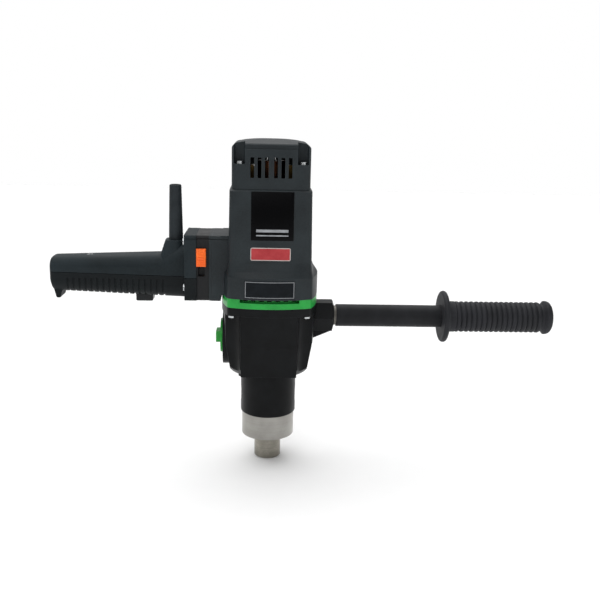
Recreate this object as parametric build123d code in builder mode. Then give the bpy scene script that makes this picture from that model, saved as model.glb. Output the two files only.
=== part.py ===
from build123d import *
import math
import os

os.makedirs("parts", exist_ok=True)

# Heavy two-handed drill, spindle pointing down. Sizes are in millimetres.
# Origin: centre of the clamping collar's lower face. +Z runs up the spindle axis to the motor,
# +X points to the side handle, and the front of the tool faces -Y.

# Clearances
fit_gap = 0.03          # fixed seats and spigots, all round
running_gap = 0.05      # shafts in bearings and wheels on journals, radial
moving_gap = 0.35       # between pieces that move past each other
overcut = 1.0           # how far a cut runs past a face, or a root into one

# Lengths along the spindle axis, from the collar's lower face upwards
collar_length = 26.0
neck_length = 38.5
case_length = 87.7
cover_thickness = 9.5
motor_flange_length = 22.3
flare_length = 15.0
motor_body_length = 73.5
cap_length = 49.3

neck_z = collar_length
case_z = neck_z + neck_length
cover_z = case_z + case_length
motor_z = cover_z + cover_thickness
flare_z = motor_z + motor_flange_length
body_z = flare_z + flare_length
cap_z = body_z + motor_body_length
top_z = cap_z + cap_length

# Clamping collar, neck and spindle bearings
collar_diameter = 57.0
neck_diameter = 60.0
neck_edge_radius = 1.5
collar_spigot_diameter = 50.0
collar_spigot_length = 8.0
spindle_bore_diameter = 40.0
bearing_passage_diameter = 48.0
journal_diameter = 25.0
spindle_bearing_diameter = 47.0
spindle_bearing_width = 12.0
seal_width = 5.4
seal_recess = 1.6
seal_rim = 4.0
seal_lip = 2.0
edge_break = 1.0

# Spindle with its taper socket, which takes a number 2 Morse taper
nose_diameter = 29.2
nose_length = 28.0
nose_shoulder_z = 1.0
taper_mouth_diameter = 17.78
taper_rate = 1 / 20.02
taper_length = 66.0
tang_bore_diameter = 13.6
tang_bore_length = 10.0
drift_slot_width = 6.5
drift_slot_length = 19.0
drift_slot_lead = 2.0
neck_window_width = 10.0

# Gear train: the layshaft runs behind the spindle
layshaft_offset = 24.0
armature_teeth = 9
intermediate_teeth = 39
low_pinion_teeth = 10
low_wheel_teeth = 30
high_pinion_teeth = 15
high_wheel_teeth = 25
pressure_angle = 25.0
addendum = 0.8
dedendum = 1.05
tooth_thinning = 0.14
intermediate_width = 7.0
low_tooth_width = 11.0
high_wheel_width = 10.0
layshaft_diameter = 9.4
layshaft_journal_diameter = 8.0
layshaft_bearing_diameter = 22.0
layshaft_bearing_width = 7.0
layshaft_bush_diameter = 12.0
layshaft_bush_gap = 5.7
layshaft_boss_wall = 3.5
intermediate_hub_diameter = 16.0
intermediate_side_gap = 1.2
intermediate_top_gap = 1.7
first_module = 2 * layshaft_offset / (armature_teeth + intermediate_teeth)
low_module = 2 * layshaft_offset / (low_pinion_teeth + low_wheel_teeth)
high_module = 2 * layshaft_offset / (high_pinion_teeth + high_wheel_teeth)
toward_layshaft = 90.0
toward_spindle = 270.0

# Gear case: its half width clears the intermediate gear
case_wall = 4.0
case_floor_thickness = 5.5
case_lip = 2.0
case_lip_diameter = 41.0
case_flange_thickness = 8.8
intermediate_reach = layshaft_offset + first_module * (intermediate_teeth / 2 + addendum)
case_top_half = intermediate_reach + intermediate_side_gap + case_wall
case_middle_half = case_top_half - 1.7
case_middle_height = 45.5
case_low_half = case_top_half - 8.0
case_low_height = 11.5
case_ledge_height = 8.0
case_ledge_half = 18.0
case_low_bow = 3.0
case_top_bow = 7.0
case_corner_radius = 3.0
case_plateau_half = 29.3
case_foot_bulge = 2.6
case_bowl_margin = 1.0
case_bowl_slope = 1.0
flange_half = case_top_half + 1.2
flange_bow = 8.0
flange_corner_radius = 7.0
scallop_radius = 16.0
scallop_centre = flange_half - 5.2
case_screw_x = flange_half - 12.2
case_screw_y = flange_half - 13.7

# Case, cap and handle screws
screw_head_diameter = 7.6
screw_head_height = 2.8
screw_diameter = 4.2
screw_drive_width = 1.1
screw_drive_depth = 1.4
screw_thread_length = 13.0
screw_tip_gap = 1.0

# Shift gear: selector, eccentric pin, fork and sleeve
selector_disc_diameter = 36.6
selector_disc_thickness = 2.3
selector_grip_width = 12.0
selector_grip_length = 16.0
selector_grip_height = 5.2
selector_shaft_diameter = 16.0
selector_boss_diameter = 24.0
selector_boss_length = 6.0
selector_pin_throw = 5.0
selector_pin_diameter = 5.0
selector_pin_length = 9.0
retainer_diameter = 22.0
retainer_thickness = 1.6
pad_height = 1.5
pad_width = 44.0
pad_length = 62.0
sleeve_diameter = 32.0
sleeve_length = 14.0
sleeve_groove_width = 5.0
sleeve_groove_diameter = 25.0
dog_height = 3.0
dog_width = 8.0
dog_outer_diameter = 30.0
claw_slot_rim = 1.0
low_journal_diameter = 24.0
spline_diameter = 23.0
spline_core_diameter = 20.0
spline_key_width = 4.5
spline_keys = 3
high_journal_diameter = 20.0
spindle_shoulder_gap = 0.5
spindle_top_margin = 3.0
spindle_top_gap = 2.6
pilot_diameter = 6.0
pilot_length = 12.0
fork_outer_diameter = 36.0
fork_arm_stop = 2.5
fork_rod_distance = 8.85
fork_rod_y = -12.0
fork_rod_diameter = 6.0
fork_hub_diameter = 11.0
fork_hub_length = 14.0
fork_yoke_thickness = 5.0
fork_yoke_width = 19.0
fork_yoke_height = 13.0
fork_web_margin = 3.0
rod_boss_height = 14.0
rod_seat_depth = 7.0

# Gear case cover with the motor's lower bearing
cover_spigot_depth = 3.0
cover_spigot_gap = 0.3
cover_skin = 4.7
cover_hub_diameter = 36.0
cover_hub_height = 6.3
cover_side_margin = 0.4
exhaust_half_width = 30.5
exhaust_height = 3.6
exhaust_depth = 5.0
outlet_slot_count = 7
outlet_slot_pitch = 8.4
outlet_slot_width = 4.6
outlet_slot_height = 2.4
outlet_slot_reach = 20.0
motor_bearing_diameter = 28.0
motor_bearing_width = 8.0

# Motor inside
armature_shaft_diameter = 12.0
armature_bore_diameter = armature_shaft_diameter + 2.0
armature_core_diameter = 45.2
air_gap = 0.6
armature_slots = 12
armature_slot_width = 4.0
armature_slot_depth = 8.0
stator_diameter = 76.0
stator_length = 55.0
stator_ring_thickness = 5.0
core_inset = 2.0
pole_width = 28.0
pole_shoe_width = 38.0
pole_shoe_thickness = 3.8
coil_width = 48.0
coil_overhang = 8.0
winding_overhang = 12.0
winding_diameter = 40.0
commutator_diameter = 30.0
commutator_length = 23.0
commutator_bars = 24
commutator_slit = 0.7
commutator_slit_depth = 1.2
pinion_overhang = 0.5
fan_diameter = 79.0
fan_height = 14.0
fan_plate_thickness = 2.0
fan_blades = 11
fan_blade_thickness = 2.0
fan_hub_diameter = 20.0
fan_foot_gap = 2.0
fan_top_gap = 1.0
air_ring_thickness = 2.0
air_ring_bore = 52.0

# Motor housing: its half width follows the stator
motor_wall = 3.5
motor_draft = 1.0
stator_side_gap = 0.6
stator_chamber_half = stator_diameter / 2 + stator_side_gap
stator_chamber_radius = 4.0
body_high_half = stator_chamber_half + motor_wall
body_low_half = body_high_half + motor_draft
body_bow = 0.6
body_corner_radius = 7.0
motor_flange_half = flange_half + 0.2
flare_middle_half = body_low_half + 3.4
flare_middle_height = 6.0
fan_chamber_diameter = fan_diameter + 4.0
stator_seat_width = 2.0
throat_diameter = stator_diameter - 2 * stator_seat_width
motor_boss_diameter = 10.0
motor_boss_length = 20.0
motor_edge_radius = 1.5

# Brush gear
brush_height = 15.5
brush_width = 8.0
brush_depth = 11.0
brush_length = 14.0
holder_wall = 1.5
holder_standoff = 3.0
brush_spring_diameter = 6.0
brush_spring_wire = 0.8

# Motor cap
cap_half = body_high_half - 2.1
cap_wall = 3.0
cap_corner_radius = 6.5
cap_spigot_depth = 4.0
cap_dome_rise = 3.2
cap_edge_radius = 4.5
cap_side_radius = 7.5
cap_roof = 5.0
cap_screw_x = cap_half - 8.3
cap_screw_y = cap_half - 6.0
cap_screw_seat = 25.3
cap_pocket_width = 11.0
cap_pocket_depth = 11.0
cap_pocket_radius = 2.0
cap_groove_height = 4.0
cap_groove_depth = 1.4
cap_groove_drop = 6.0
vent_width = 3.8
vent_length = 20.3
vent_pitch = 7.2
vent_centre_gap = 9.2
vent_height = 22.0
vents_per_side = 3
cap_bearing_journal = 8.0
cap_bearing_diameter = 22.0
cap_bearing_width = 7.0
cap_bearing_height = 30.5
cap_bearing_recess = 2.0
cap_hub_diameter = 29.0
cap_web_thickness = 3.0
cap_web_gap = 0.5

# Rear handle: bracket, joint plate, switch housing and the two shells.
# Heights are measured from the bracket's lower edge, lengths from the handle's flange.
neck_half_width = 18.5
handle_screw_margin = 1.3
handle_screw_sink = 1.6
screw_recess_gap = 0.4
handle_screw_y = neck_half_width + screw_head_diameter / 2 + handle_screw_margin
bracket_reach = 9.1
bracket_drop = 6.9
bracket_height = 69.2
bracket_edge_margin = 4.4
bracket_corner_radius = 3.0
joint_plate_thickness = 2.9
joint_plate_inset = 0.6
joint_groove_drop = 0.3
joint_groove_width = 1.0
joint_groove_depth = 1.0
switch_housing_length = 13.1
switch_housing_inset = 2.0
switch_window_half_width = 22.0
switch_window_low = 21.2
switch_window_height = 33.0
handle_flange_length = 12.5
handle_screw_low = 13.9
handle_screw_high = 62.0
wire_passage_diameter = 10.0
wire_passage_height = 47.7
handle_wall = 3.0
handle_length = 141.6
handle_end_half_width = 15.5
handle_end_low = 5.2
handle_end_depth = 36.8
grip_root_distance = 23.5
grip_root_half_width = 19.0
grip_root_low = 1.2
grip_root_depth = 45.0
grip_corner_radius = 12.0
neck_low = 0.2
neck_depth = 58.0
handle_end_radius = 6.0
parting_height = 24.7
parting_slope = 0.9
seam_width = 0.6
seam_depth = 0.8
groove_count = 17
groove_pitch = 6.2
groove_width = 2.4
groove_depth = 1.2
groove_start = 19.6
groove_top_drop = 3.8
end_slope_drop = 1.8
hook_tip_inset = 5.4
hook_tip_drop = 7.4
hook_tip_length = 4.7
hook_tip_radius = 2.0
hook_side_gap = 0.3
hook_root_length = 13.0
hook_slope_length = 2.0
hook_slope_rise = 2.0
hook_half_width = 10.0
shell_screw_distance = 40.6
shell_post_diameter = 10.0
shell_screw_sink = 0.3

# Cable sleeve on its riser
sleeve_axis_distance = 10.8
sleeve_base_diameter = 15.0
sleeve_tip_diameter = 12.4
sleeve_tip_radius = 1.6
sleeve_visible_length = 57.5
cable_bore_diameter = 8.4
cable_flange_diameter = 19.0
cable_flange_thickness = 5.0
cable_flange_side_gap = 0.5
riser_height = 60.7
riser_foot_height = 40.0
riser_foot_length = 25.0
riser_top_length = 18.5
riser_front_length = 7.8
riser_foot_half_width = 17.5
riser_top_half_width = 11.5
riser_corner_radius = 7.0
riser_roof = 4.0
cable_clamp_thickness = 6.0

# Trigger and switches
trigger_distance = 44.2
trigger_length = 17.8
trigger_width = 13.0
trigger_reach = 7.6
trigger_travel = 5.5
trigger_lip = 2.5
trigger_lip_thickness = 2.0
trigger_radius = 2.0
switch_length = 44.0
switch_width = 17.0
switch_height = 20.0
slider_distance = 5.1
slider_width = 10.0
slider_low = 36.9
slider_length = 18.6
slider_height = 4.0
slider_travel = 16.0
slider_stem_width = 6.0
slider_stem_height = 8.0
slider_stem_length = 5.0
direction_switch_depth = 14.0
direction_switch_height = 30.0
direction_switch_margin = 1.1

# Side handle
side_axis_drop = 17.6
boss_flats = 31.0
boss_end_diameter = 22.0
boss_length = 19.3
boss_root_depth = 6.7
boss_chamfer = 2.0
gusset_drop = 26.7
gusset_tip_drop = 16.8
gusset_tip_inset = 3.0
gusset_thickness = 8.0
stud_diameter = 14.0
stud_hole_depth = 19.0
stud_plug_length = 30.0
washer_diameter = 21.0
washer_thickness = 2.4
tube_diameter = 24.0
tube_wall = 2.5
tube_length = 227.6
grip_length = 121.6
grip_end_overhang = 8.6
grip_radius = 16.75
grip_flange_radius = 28.0
grip_flange_thickness = 6.0
grip_flange_rim = 2.8
grip_flange_blend = 4.0
grip_rib_count = 17
grip_rib_pitch = 5.55
grip_rib_depth = 1.9
grip_rib_start = 15.0
grip_bead_radius = 18.3
grip_bead_length = 10.0
grip_bead_slope = 3.0
grip_bead_round = 6.0


def level(z, x=0.0, y=0.0):
    return Plane(origin=(x, y, z))


def facing_right(x, y=0.0, z=0.0):
    return Plane(origin=(x, y, z), x_dir=(0, 1, 0), z_dir=(1, 0, 0))


def facing_left(x, y=0.0, z=0.0):
    return Plane(origin=(x, y, z), x_dir=(0, -1, 0), z_dir=(-1, 0, 0))


def disc(plane, diameter, height, mode=Mode.ADD):
    with BuildSketch(plane) as face:
        Circle(diameter / 2)
    extrude(face.sketch, amount=height, mode=mode)


def ring(plane, outer, inner, height, mode=Mode.ADD):
    with BuildSketch(plane) as face:
        Circle(outer / 2)
        Circle(inner / 2, mode=Mode.SUBTRACT)
    extrude(face.sketch, amount=height, mode=mode)


def block(low, high, mode=Mode.ADD):
    size = [high[i] - low[i] for i in range(3)]
    with Locations(low):
        Box(*size, align=(Align.MIN, Align.MIN, Align.MIN), mode=mode)


def quarter_arc(start, end, centre):
    # Quarter circle from start to end round a centre
    radius = math.dist(start, centre)
    middle = [(start[i] + end[i]) / 2 - centre[i] for i in range(2)]
    reach = radius / math.hypot(*middle)
    ThreePointArc(start, (centre[0] + middle[0] * reach, centre[1] + middle[1] * reach), end)


def bearing(plane, bore, outer, width):
    # Sealed ball bearing: two rings with the seal a little below their faces
    land = (outer - bore) / 7
    recess = width / 20
    ring(plane, outer, bore, width)
    ring(plane, outer - 2 * land, bore + 2 * land, recess, mode=Mode.SUBTRACT)
    ring(plane.offset(width - recess), outer - 2 * land, bore + 2 * land, recess, mode=Mode.SUBTRACT)


def pan_screw(seat, length):
    # The head stands on the seat plane and the shank runs back from it
    disc(seat, screw_head_diameter, screw_head_height)
    disc(seat, screw_diameter, -length)
    with BuildSketch(seat.offset(screw_head_height)) as drive:
        Rectangle(screw_head_diameter / 2, screw_drive_width)
        Rectangle(screw_drive_width, screw_head_diameter / 2)
    extrude(drive.sketch, amount=-screw_drive_depth, mode=Mode.SUBTRACT)


def bowed_square(half_size, bow, corner_radius):
    # Square whose sides bow outwards, with rounded corners
    corner = half_size - bow
    corners = [(corner, corner), (-corner, corner), (-corner, -corner), (corner, -corner)]
    middles = [(0, half_size), (-half_size, 0), (0, -half_size), (half_size, 0)]
    with BuildLine() as outline:
        for i in range(4):
            ThreePointArc(corners[i], middles[i], corners[(i + 1) % 4])
    make_face(outline.edges())
    fillet(vertices(), radius=corner_radius)


def gear_outline(module, teeth, first_tooth):
    # Involute teeth; first_tooth is the angle of one tooth's middle, in degrees
    pitch = module * teeth / 2
    angle = math.radians(pressure_angle)
    base = pitch * math.cos(angle)
    root = pitch - dedendum * module
    tip = pitch + addendum * module
    half_at_pitch = (math.pi * module / 2 - tooth_thinning) / (2 * pitch)

    def half_width(radius):
        local = math.acos(min(1.0, base / max(radius, base)))
        return half_at_pitch + math.tan(angle) - angle - math.tan(local) + local

    radii = [root, base, pitch, tip] if root < base else [root, pitch, tip]
    points = []
    for tooth in range(teeth):
        middle = math.radians(first_tooth + tooth * 360 / teeth)
        rising = [(r, middle - half_width(r)) for r in radii]
        falling = [(r, middle + half_width(r)) for r in reversed(radii)]
        for r, turn in rising + falling:
            points.append((r * math.cos(turn), r * math.sin(turn)))
    with BuildLine() as outline:
        Polyline(*points, close=True)
    make_face(outline.edges())


def gear(plane, module, teeth, first_tooth, width):
    with BuildSketch(plane) as face:
        gear_outline(module, teeth, first_tooth)
    extrude(face.sketch, amount=width)


def dogs(plane, inner, first_angle, height, mode=Mode.ADD):
    # Four claws on a face, standing in a ring
    with BuildSketch(plane) as claws:
        Rectangle(dog_outer_diameter, dog_width, rotation=first_angle)
        Rectangle(dog_width, dog_outer_diameter, rotation=first_angle)
        Circle(dog_outer_diameter / 2, mode=Mode.INTERSECT)
        Circle(inner / 2, mode=Mode.SUBTRACT)
    extrude(claws.sketch, amount=height, mode=mode)


def case_form(inset, foot_half, front_half, foot_z, ledge_z, low_z, ceiling_z):
    # Tapering case with bowed walls and hollowed corners, drawn in by inset. Its sides and back round
    # off to the neck like a bowl, and its front ends in a plateau with a ledge above the neck.
    low_half = case_low_half - inset
    top_half = case_top_half - inset
    bowl_half = low_half + case_bowl_margin
    reach = 2 * case_top_half
    plateau_half = case_plateau_half - inset
    ledge_rise = (low_z - ledge_z) / (low_half - front_half)
    sections = [
        (foot_z, low_half, case_low_bow),
        (low_z, low_half, case_low_bow),
        (case_z + case_middle_height, case_middle_half - inset, (case_low_bow + case_top_bow) / 2),
        (flange_z, top_half, case_top_bow),
        (ceiling_z, top_half, case_top_bow),
    ]
    with BuildPart() as undercut:
        with BuildSketch(Plane.XZ):
            with BuildLine() as outline:
                SagittaArc((foot_half, foot_z), (bowl_half, low_z), case_foot_bulge)
                Polyline((bowl_half, low_z), (reach, low_z + case_bowl_slope * (reach - bowl_half)),
                         (reach, foot_z - overcut), (foot_half, foot_z - overcut), (foot_half, foot_z))
            make_face()
        revolve(axis=Axis.Z)
        block((-plateau_half, -reach, foot_z - 2 * overcut), (plateau_half, -front_half, ceiling_z),
              mode=Mode.SUBTRACT)
        with BuildSketch(Plane.YZ) as ledge:
            Polygon((-front_half, foot_z - overcut), (-front_half, ledge_z),
                    (-reach, ledge_z + ledge_rise * (reach - front_half)),
                    (-reach, foot_z - overcut), align=None)
        extrude(ledge.sketch, amount=plateau_half, both=True)
    with BuildPart() as form:
        for z, half, bow in sections:
            with BuildSketch(level(z)):
                bowed_square(half, bow, case_corner_radius)
        loft(ruled=True)
        with BuildSketch(level(foot_z)) as corners:
            with GridLocations(2 * scallop_centre, 2 * scallop_centre, 2, 2):
                Circle(scallop_radius + inset)
        extrude(corners.sketch, amount=ceiling_z - foot_z, mode=Mode.SUBTRACT)
        add(undercut.part, mode=Mode.SUBTRACT)
    return form.part


def handle_boss():
    # Hexagonal boss whose end is turned down to a round face
    corner_radius = boss_flats / math.sqrt(3)
    turned_x = boss_face_x - boss_chamfer
    with BuildPart() as form:
        with BuildSketch(facing_right(boss_root_x, 0, side_axis_z)) as hexagon:
            RegularPolygon(boss_flats / 2, 6, major_radius=False)
        extrude(hexagon.sketch, amount=boss_face_x - boss_root_x)
        with BuildSketch(Plane(origin=(0, 0, side_axis_z), x_dir=(1, 0, 0), z_dir=(0, -1, 0))) as turned:
            Polygon((boss_root_x - overcut, 0), (boss_root_x - overcut, corner_radius + overcut),
                    (turned_x, corner_radius + overcut), (turned_x, corner_radius),
                    (boss_face_x, boss_end_diameter / 2), (boss_face_x, 0), align=None)
        revolve(turned.sketch, axis=Axis((0, 0, side_axis_z), (1, 0, 0)), mode=Mode.INTERSECT)
    return form.part


def grip_body(inset):
    # Rear grip, swelling from its end to the neck in front of the flange; below the parting line its
    # end slopes in towards the hook's tip
    slope = (hook_tip_x - handle_end_x + overcut) / (end_slope_z - hook_tip_z)
    slope_end_x = hook_tip_x + inset + slope * overcut
    stations = [
        (handle_end_x + inset, handle_end_half_width, handle_end_low_z, handle_end_high_z),
        (grip_root_x, grip_root_half_width, grip_root_low_z, grip_root_high_z),
        (handle_flange_x, neck_half_width, neck_low_z, neck_high_z),
    ]
    with BuildPart() as body:
        for x, half_width, low, high in stations:
            with BuildSketch(facing_right(x, 0, (low + high) / 2)):
                RectangleRounded(2 * (half_width - inset), high - low - 2 * inset,
                                 grip_corner_radius - inset)
        loft(ruled=True)
        end_edges = body.faces().sort_by(Axis.X)[0].edges()
        fillet(end_edges, radius=handle_end_radius - inset)
        with BuildSketch(Plane.XZ) as end_slope:
            Polygon((handle_end_x - 2 * overcut, end_slope_z), (handle_end_x - overcut + inset, end_slope_z),
                    (slope_end_x, hook_tip_z - overcut), (handle_end_x - 2 * overcut, hook_tip_z - overcut),
                    align=None)
        extrude(end_slope.sketch, amount=2 * handle_end_half_width, both=True, mode=Mode.SUBTRACT)
    return body.part


def joint_groove(left_x, right_x, half_width):
    # Grooves along the front and back of the handle joint, just under its rounded top edge
    groove_top = bracket_high_z - bracket_corner_radius - joint_groove_drop
    for side in (-1, 1):
        block((left_x, side * half_width - joint_groove_depth, groove_top - joint_groove_width),
              (right_x, side * half_width + joint_groove_depth, groove_top), mode=Mode.SUBTRACT)


def riser_form():
    # Rounded riser for the cable sleeve, spreading towards the grip at its foot
    with BuildPart() as form:
        for z, length, half_width in ((riser_foot_z, riser_foot_length, riser_foot_half_width),
                                      (riser_top_z, riser_top_length, riser_top_half_width)):
            with BuildSketch(level(z, riser_right_x - length / 2)):
                RectangleRounded(length, 2 * half_width, riser_corner_radius)
        loft(ruled=True)
    return form.part


# Levels of the spindle bearings and the taper socket
lower_bearing_z = seal_recess + seal_width
lower_bearing_top = lower_bearing_z + spindle_bearing_width
cavity_z = case_z + case_floor_thickness
upper_bearing_top = cavity_z - case_lip
upper_bearing_z = upper_bearing_top - spindle_bearing_width
taper_end_z = taper_length - nose_length
drift_slot_z = taper_end_z - drift_slot_lead

# Levels of the gear train and the shift gear, from the cover downwards
flange_z = cover_z - case_flange_thickness
case_inside_low_z = case_z + case_low_height + case_wall
spigot_z = cover_z - cover_spigot_depth
intermediate_top = spigot_z - intermediate_top_gap
intermediate_z = intermediate_top - intermediate_width
spindle_top = intermediate_z - spindle_top_gap
high_wheel_top = spindle_top - spindle_top_margin
high_wheel_z = high_wheel_top - high_wheel_width
shift_travel = selector_pin_throw * math.sqrt(2)
sleeve_z = high_wheel_z - moving_gap - shift_travel - dog_height - sleeve_length
pin_rest_z = sleeve_z + sleeve_length / 2
selector_z = pin_rest_z + shift_travel / 2
low_wheel_top = sleeve_z - moving_gap
claw_z = low_wheel_top - dog_height - moving_gap
low_wheel_z = claw_z - low_tooth_width
layshaft_bearing_top = motor_z - cover_skin
layshaft_bearing_z = layshaft_bearing_top - layshaft_bearing_width
layshaft_bush_top = low_wheel_z - layshaft_bush_gap
layshaft_bush_length = layshaft_bush_top - cavity_z
layshaft_boss_diameter = layshaft_bush_diameter + 2 * layshaft_boss_wall
spindle_shoulder_diameter = 2 * (layshaft_offset - spindle_shoulder_gap) - layshaft_boss_diameter

# Places of the selector and the fork
pad_face_x = -case_middle_half - pad_height
selector_boss_x = -case_middle_half + case_wall + selector_boss_length
selector_shaft_end_x = selector_boss_x + retainer_thickness + moving_gap
fork_rod_x = selector_shaft_end_x + fork_rod_distance
yoke_x = selector_shaft_end_x + selector_pin_length - fork_yoke_thickness
pin_rest_y = shift_travel / 2
fork_thickness = sleeve_groove_width - 2 * moving_gap
fork_z = pin_rest_z - fork_thickness / 2

# Levels of the motor
motor_bearing_top = motor_z + cover_hub_height
motor_bearing_z = motor_bearing_top - motor_bearing_width
fan_z = motor_bearing_top + fan_foot_gap
fan_roof_z = fan_z + fan_height + fan_top_gap + air_ring_thickness
core_z = body_z + core_inset
core_length = stator_length - 2 * core_inset
core_top = core_z + core_length
stator_bore = armature_core_diameter + 2 * air_gap
brush_z = cap_z + brush_height
commutator_z = brush_z - commutator_length / 2
commutator_top = commutator_z + commutator_length
cap_web_z = brush_z + brush_depth / 2 + holder_wall + moving_gap
cap_bearing_z = cap_z + cap_bearing_height
cap_bearing_top = cap_bearing_z + cap_bearing_width
cap_inner_half = cap_half - cap_wall
cap_screw_z = cap_z + cap_screw_seat
cap_spigot_z = cap_z - cap_spigot_depth
shoulder_z = top_z - cap_dome_rise
cap_ceiling_z = shoulder_z - cap_roof
pocket_inner_x = cap_screw_x - cap_pocket_width / 2

# Places along the rear handle, from the motor bracket to the left
bracket_face_x = -motor_flange_half - bracket_reach
bracket_root_x = -flange_half - cover_side_margin
bracket_low_z = motor_z - bracket_drop
bracket_high_z = bracket_low_z + bracket_height
bracket_half_width = handle_screw_y + bracket_edge_margin
switch_housing_half_width = bracket_half_width - switch_housing_inset
switch_housing_right_x = bracket_face_x - joint_plate_thickness
switch_housing_left_x = switch_housing_right_x - switch_housing_length
switch_window_low_z = bracket_low_z + switch_window_low
switch_window_high_z = switch_window_low_z + switch_window_height
joint_plate_half_width = bracket_half_width - joint_plate_inset
handle_flange_x = switch_housing_left_x - handle_flange_length
handle_screw_levels = (bracket_low_z + handle_screw_low, bracket_low_z + handle_screw_high)
handle_screw_places = [(y, z) for y in (-handle_screw_y, handle_screw_y) for z in handle_screw_levels]
handle_end_x = handle_flange_x - handle_length
handle_end_low_z = bracket_low_z + handle_end_low
handle_end_high_z = handle_end_low_z + handle_end_depth
grip_root_x = handle_flange_x - grip_root_distance
grip_root_low_z = bracket_low_z + grip_root_low
grip_root_high_z = grip_root_low_z + grip_root_depth
neck_low_z = bracket_low_z + neck_low
neck_high_z = neck_low_z + neck_depth
parting_z = bracket_low_z + parting_height
parting_angle = math.radians(parting_slope)
parting_normal = (math.sin(parting_angle), 0, math.cos(parting_angle))
parting_plane = Plane(origin=(grip_root_x, 0, parting_z), z_dir=parting_normal)
hook_tip_x = handle_end_x + hook_tip_inset
hook_tip_z = handle_end_low_z - hook_tip_drop
hook_root_x = handle_end_x + hook_root_length
end_slope_z = parting_z + math.tan(parting_angle) * (grip_root_x - handle_end_x) - end_slope_drop
hook_left_x = (handle_end_x - overcut + hook_tip_x) / 2 + hook_side_gap
hook_left_z = (end_slope_z + hook_tip_z) / 2
shell_screw_x = handle_end_x + shell_screw_distance
sleeve_axis_x = handle_flange_x - sleeve_axis_distance
riser_foot_z = bracket_low_z + riser_foot_height
riser_top_z = bracket_low_z + riser_height
riser_right_x = sleeve_axis_x + riser_front_length
trigger_x = handle_flange_x - trigger_distance
slider_x = switch_housing_left_x + slider_distance
slider_low_z = bracket_low_z + slider_low
slider_high_z = slider_low_z + slider_length

# Places along the side handle, from the case boss to the right
side_axis_z = cover_z - side_axis_drop
boss_face_x = flange_half + boss_length
boss_root_x = flange_half - boss_root_depth
gusset_tip_x = boss_face_x - gusset_tip_inset
tube_x = boss_face_x + washer_thickness
tube_end_x = tube_x + tube_length
grip_end_x = tube_end_x + grip_end_overhang
grip_start_x = grip_end_x - grip_length
grip_rib_start_x = grip_start_x + grip_rib_start

# Clamping collar: ground steel, spigoted into the neck, with the lower bearing's seat
with BuildPart() as clamping_collar:
    disc(level(0), collar_diameter, collar_length)
    disc(level(neck_z), collar_spigot_diameter - 2 * fit_gap, collar_spigot_length)
    disc(level(0), spindle_bearing_diameter, lower_bearing_top, mode=Mode.SUBTRACT)
    disc(level(0), spindle_bore_diameter, neck_z + collar_spigot_length, mode=Mode.SUBTRACT)
clamping_collar.part.label = "clamping_collar"
export_step(clamping_collar.part, "parts/clamping_collar.step")

with BuildPart() as spindle_lower_bearing:
    bearing(level(lower_bearing_z), journal_diameter + 2 * running_gap,
            spindle_bearing_diameter - 2 * fit_gap, spindle_bearing_width)
spindle_lower_bearing.part.label = "spindle_lower_bearing"
export_step(spindle_lower_bearing.part, "parts/spindle_lower_bearing.step")

with BuildPart() as spindle_upper_bearing:
    bearing(level(upper_bearing_z), journal_diameter + 2 * running_gap,
            spindle_bearing_diameter - 2 * fit_gap, spindle_bearing_width)
spindle_upper_bearing.part.label = "spindle_upper_bearing"
export_step(spindle_upper_bearing.part, "parts/spindle_upper_bearing.step")

# Shaft seal under the lower bearing
with BuildPart() as spindle_seal:
    ring(level(seal_recess), spindle_bearing_diameter - 2 * fit_gap,
         journal_diameter + 2 * running_gap, seal_width)
    ring(level(seal_recess), spindle_bearing_diameter - 2 * seal_rim, journal_diameter + 2 * seal_lip,
         seal_width / 3, mode=Mode.SUBTRACT)
spindle_seal.part.label = "spindle_seal"
export_step(spindle_seal.part, "parts/spindle_seal.step")

# Spindle: nose, bearing journal, shoulder, low wheel journal, splines and high wheel journal
with BuildPart() as spindle:
    disc(level(-nose_length), nose_diameter, nose_length + nose_shoulder_z)
    chamfer(edges().group_by(Axis.Z)[0], length=edge_break)
    disc(level(0), journal_diameter, cavity_z + moving_gap)
    disc(level(cavity_z + moving_gap), spindle_shoulder_diameter,
         low_wheel_z - cavity_z - 2 * moving_gap)
    disc(level(cavity_z), low_journal_diameter, sleeve_z - cavity_z - moving_gap)
    disc(level(cavity_z), spline_core_diameter, high_wheel_z - cavity_z)
    with BuildSketch(level(cavity_z)) as splines:
        with PolarLocations(0, spline_keys):
            Rectangle(spline_diameter, spline_key_width)
        Circle(spline_diameter / 2, mode=Mode.INTERSECT)
    extrude(splines.sketch, amount=high_wheel_z - moving_gap - cavity_z)
    disc(level(cavity_z), high_journal_diameter, spindle_top - cavity_z)
    disc(level(spindle_top), pilot_diameter + 2 * running_gap, -pilot_length - moving_gap,
         mode=Mode.SUBTRACT)
    with Locations((0, 0, -nose_length)):
        Cone(taper_mouth_diameter / 2, (taper_mouth_diameter - taper_rate * taper_length) / 2,
             taper_length, align=(Align.CENTER, Align.CENTER, Align.MIN), mode=Mode.SUBTRACT)
    disc(level(taper_end_z), tang_bore_diameter, tang_bore_length, mode=Mode.SUBTRACT)
    with BuildSketch(Plane.YZ) as drift_slot:
        with Locations((0, drift_slot_z + drift_slot_length / 2)):
            SlotOverall(drift_slot_length, drift_slot_width, rotation=90)
    extrude(drift_slot.sketch, amount=nose_diameter, both=True, mode=Mode.SUBTRACT)
spindle.part.label = "spindle"
export_step(spindle.part, "parts/spindle.step")

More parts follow.
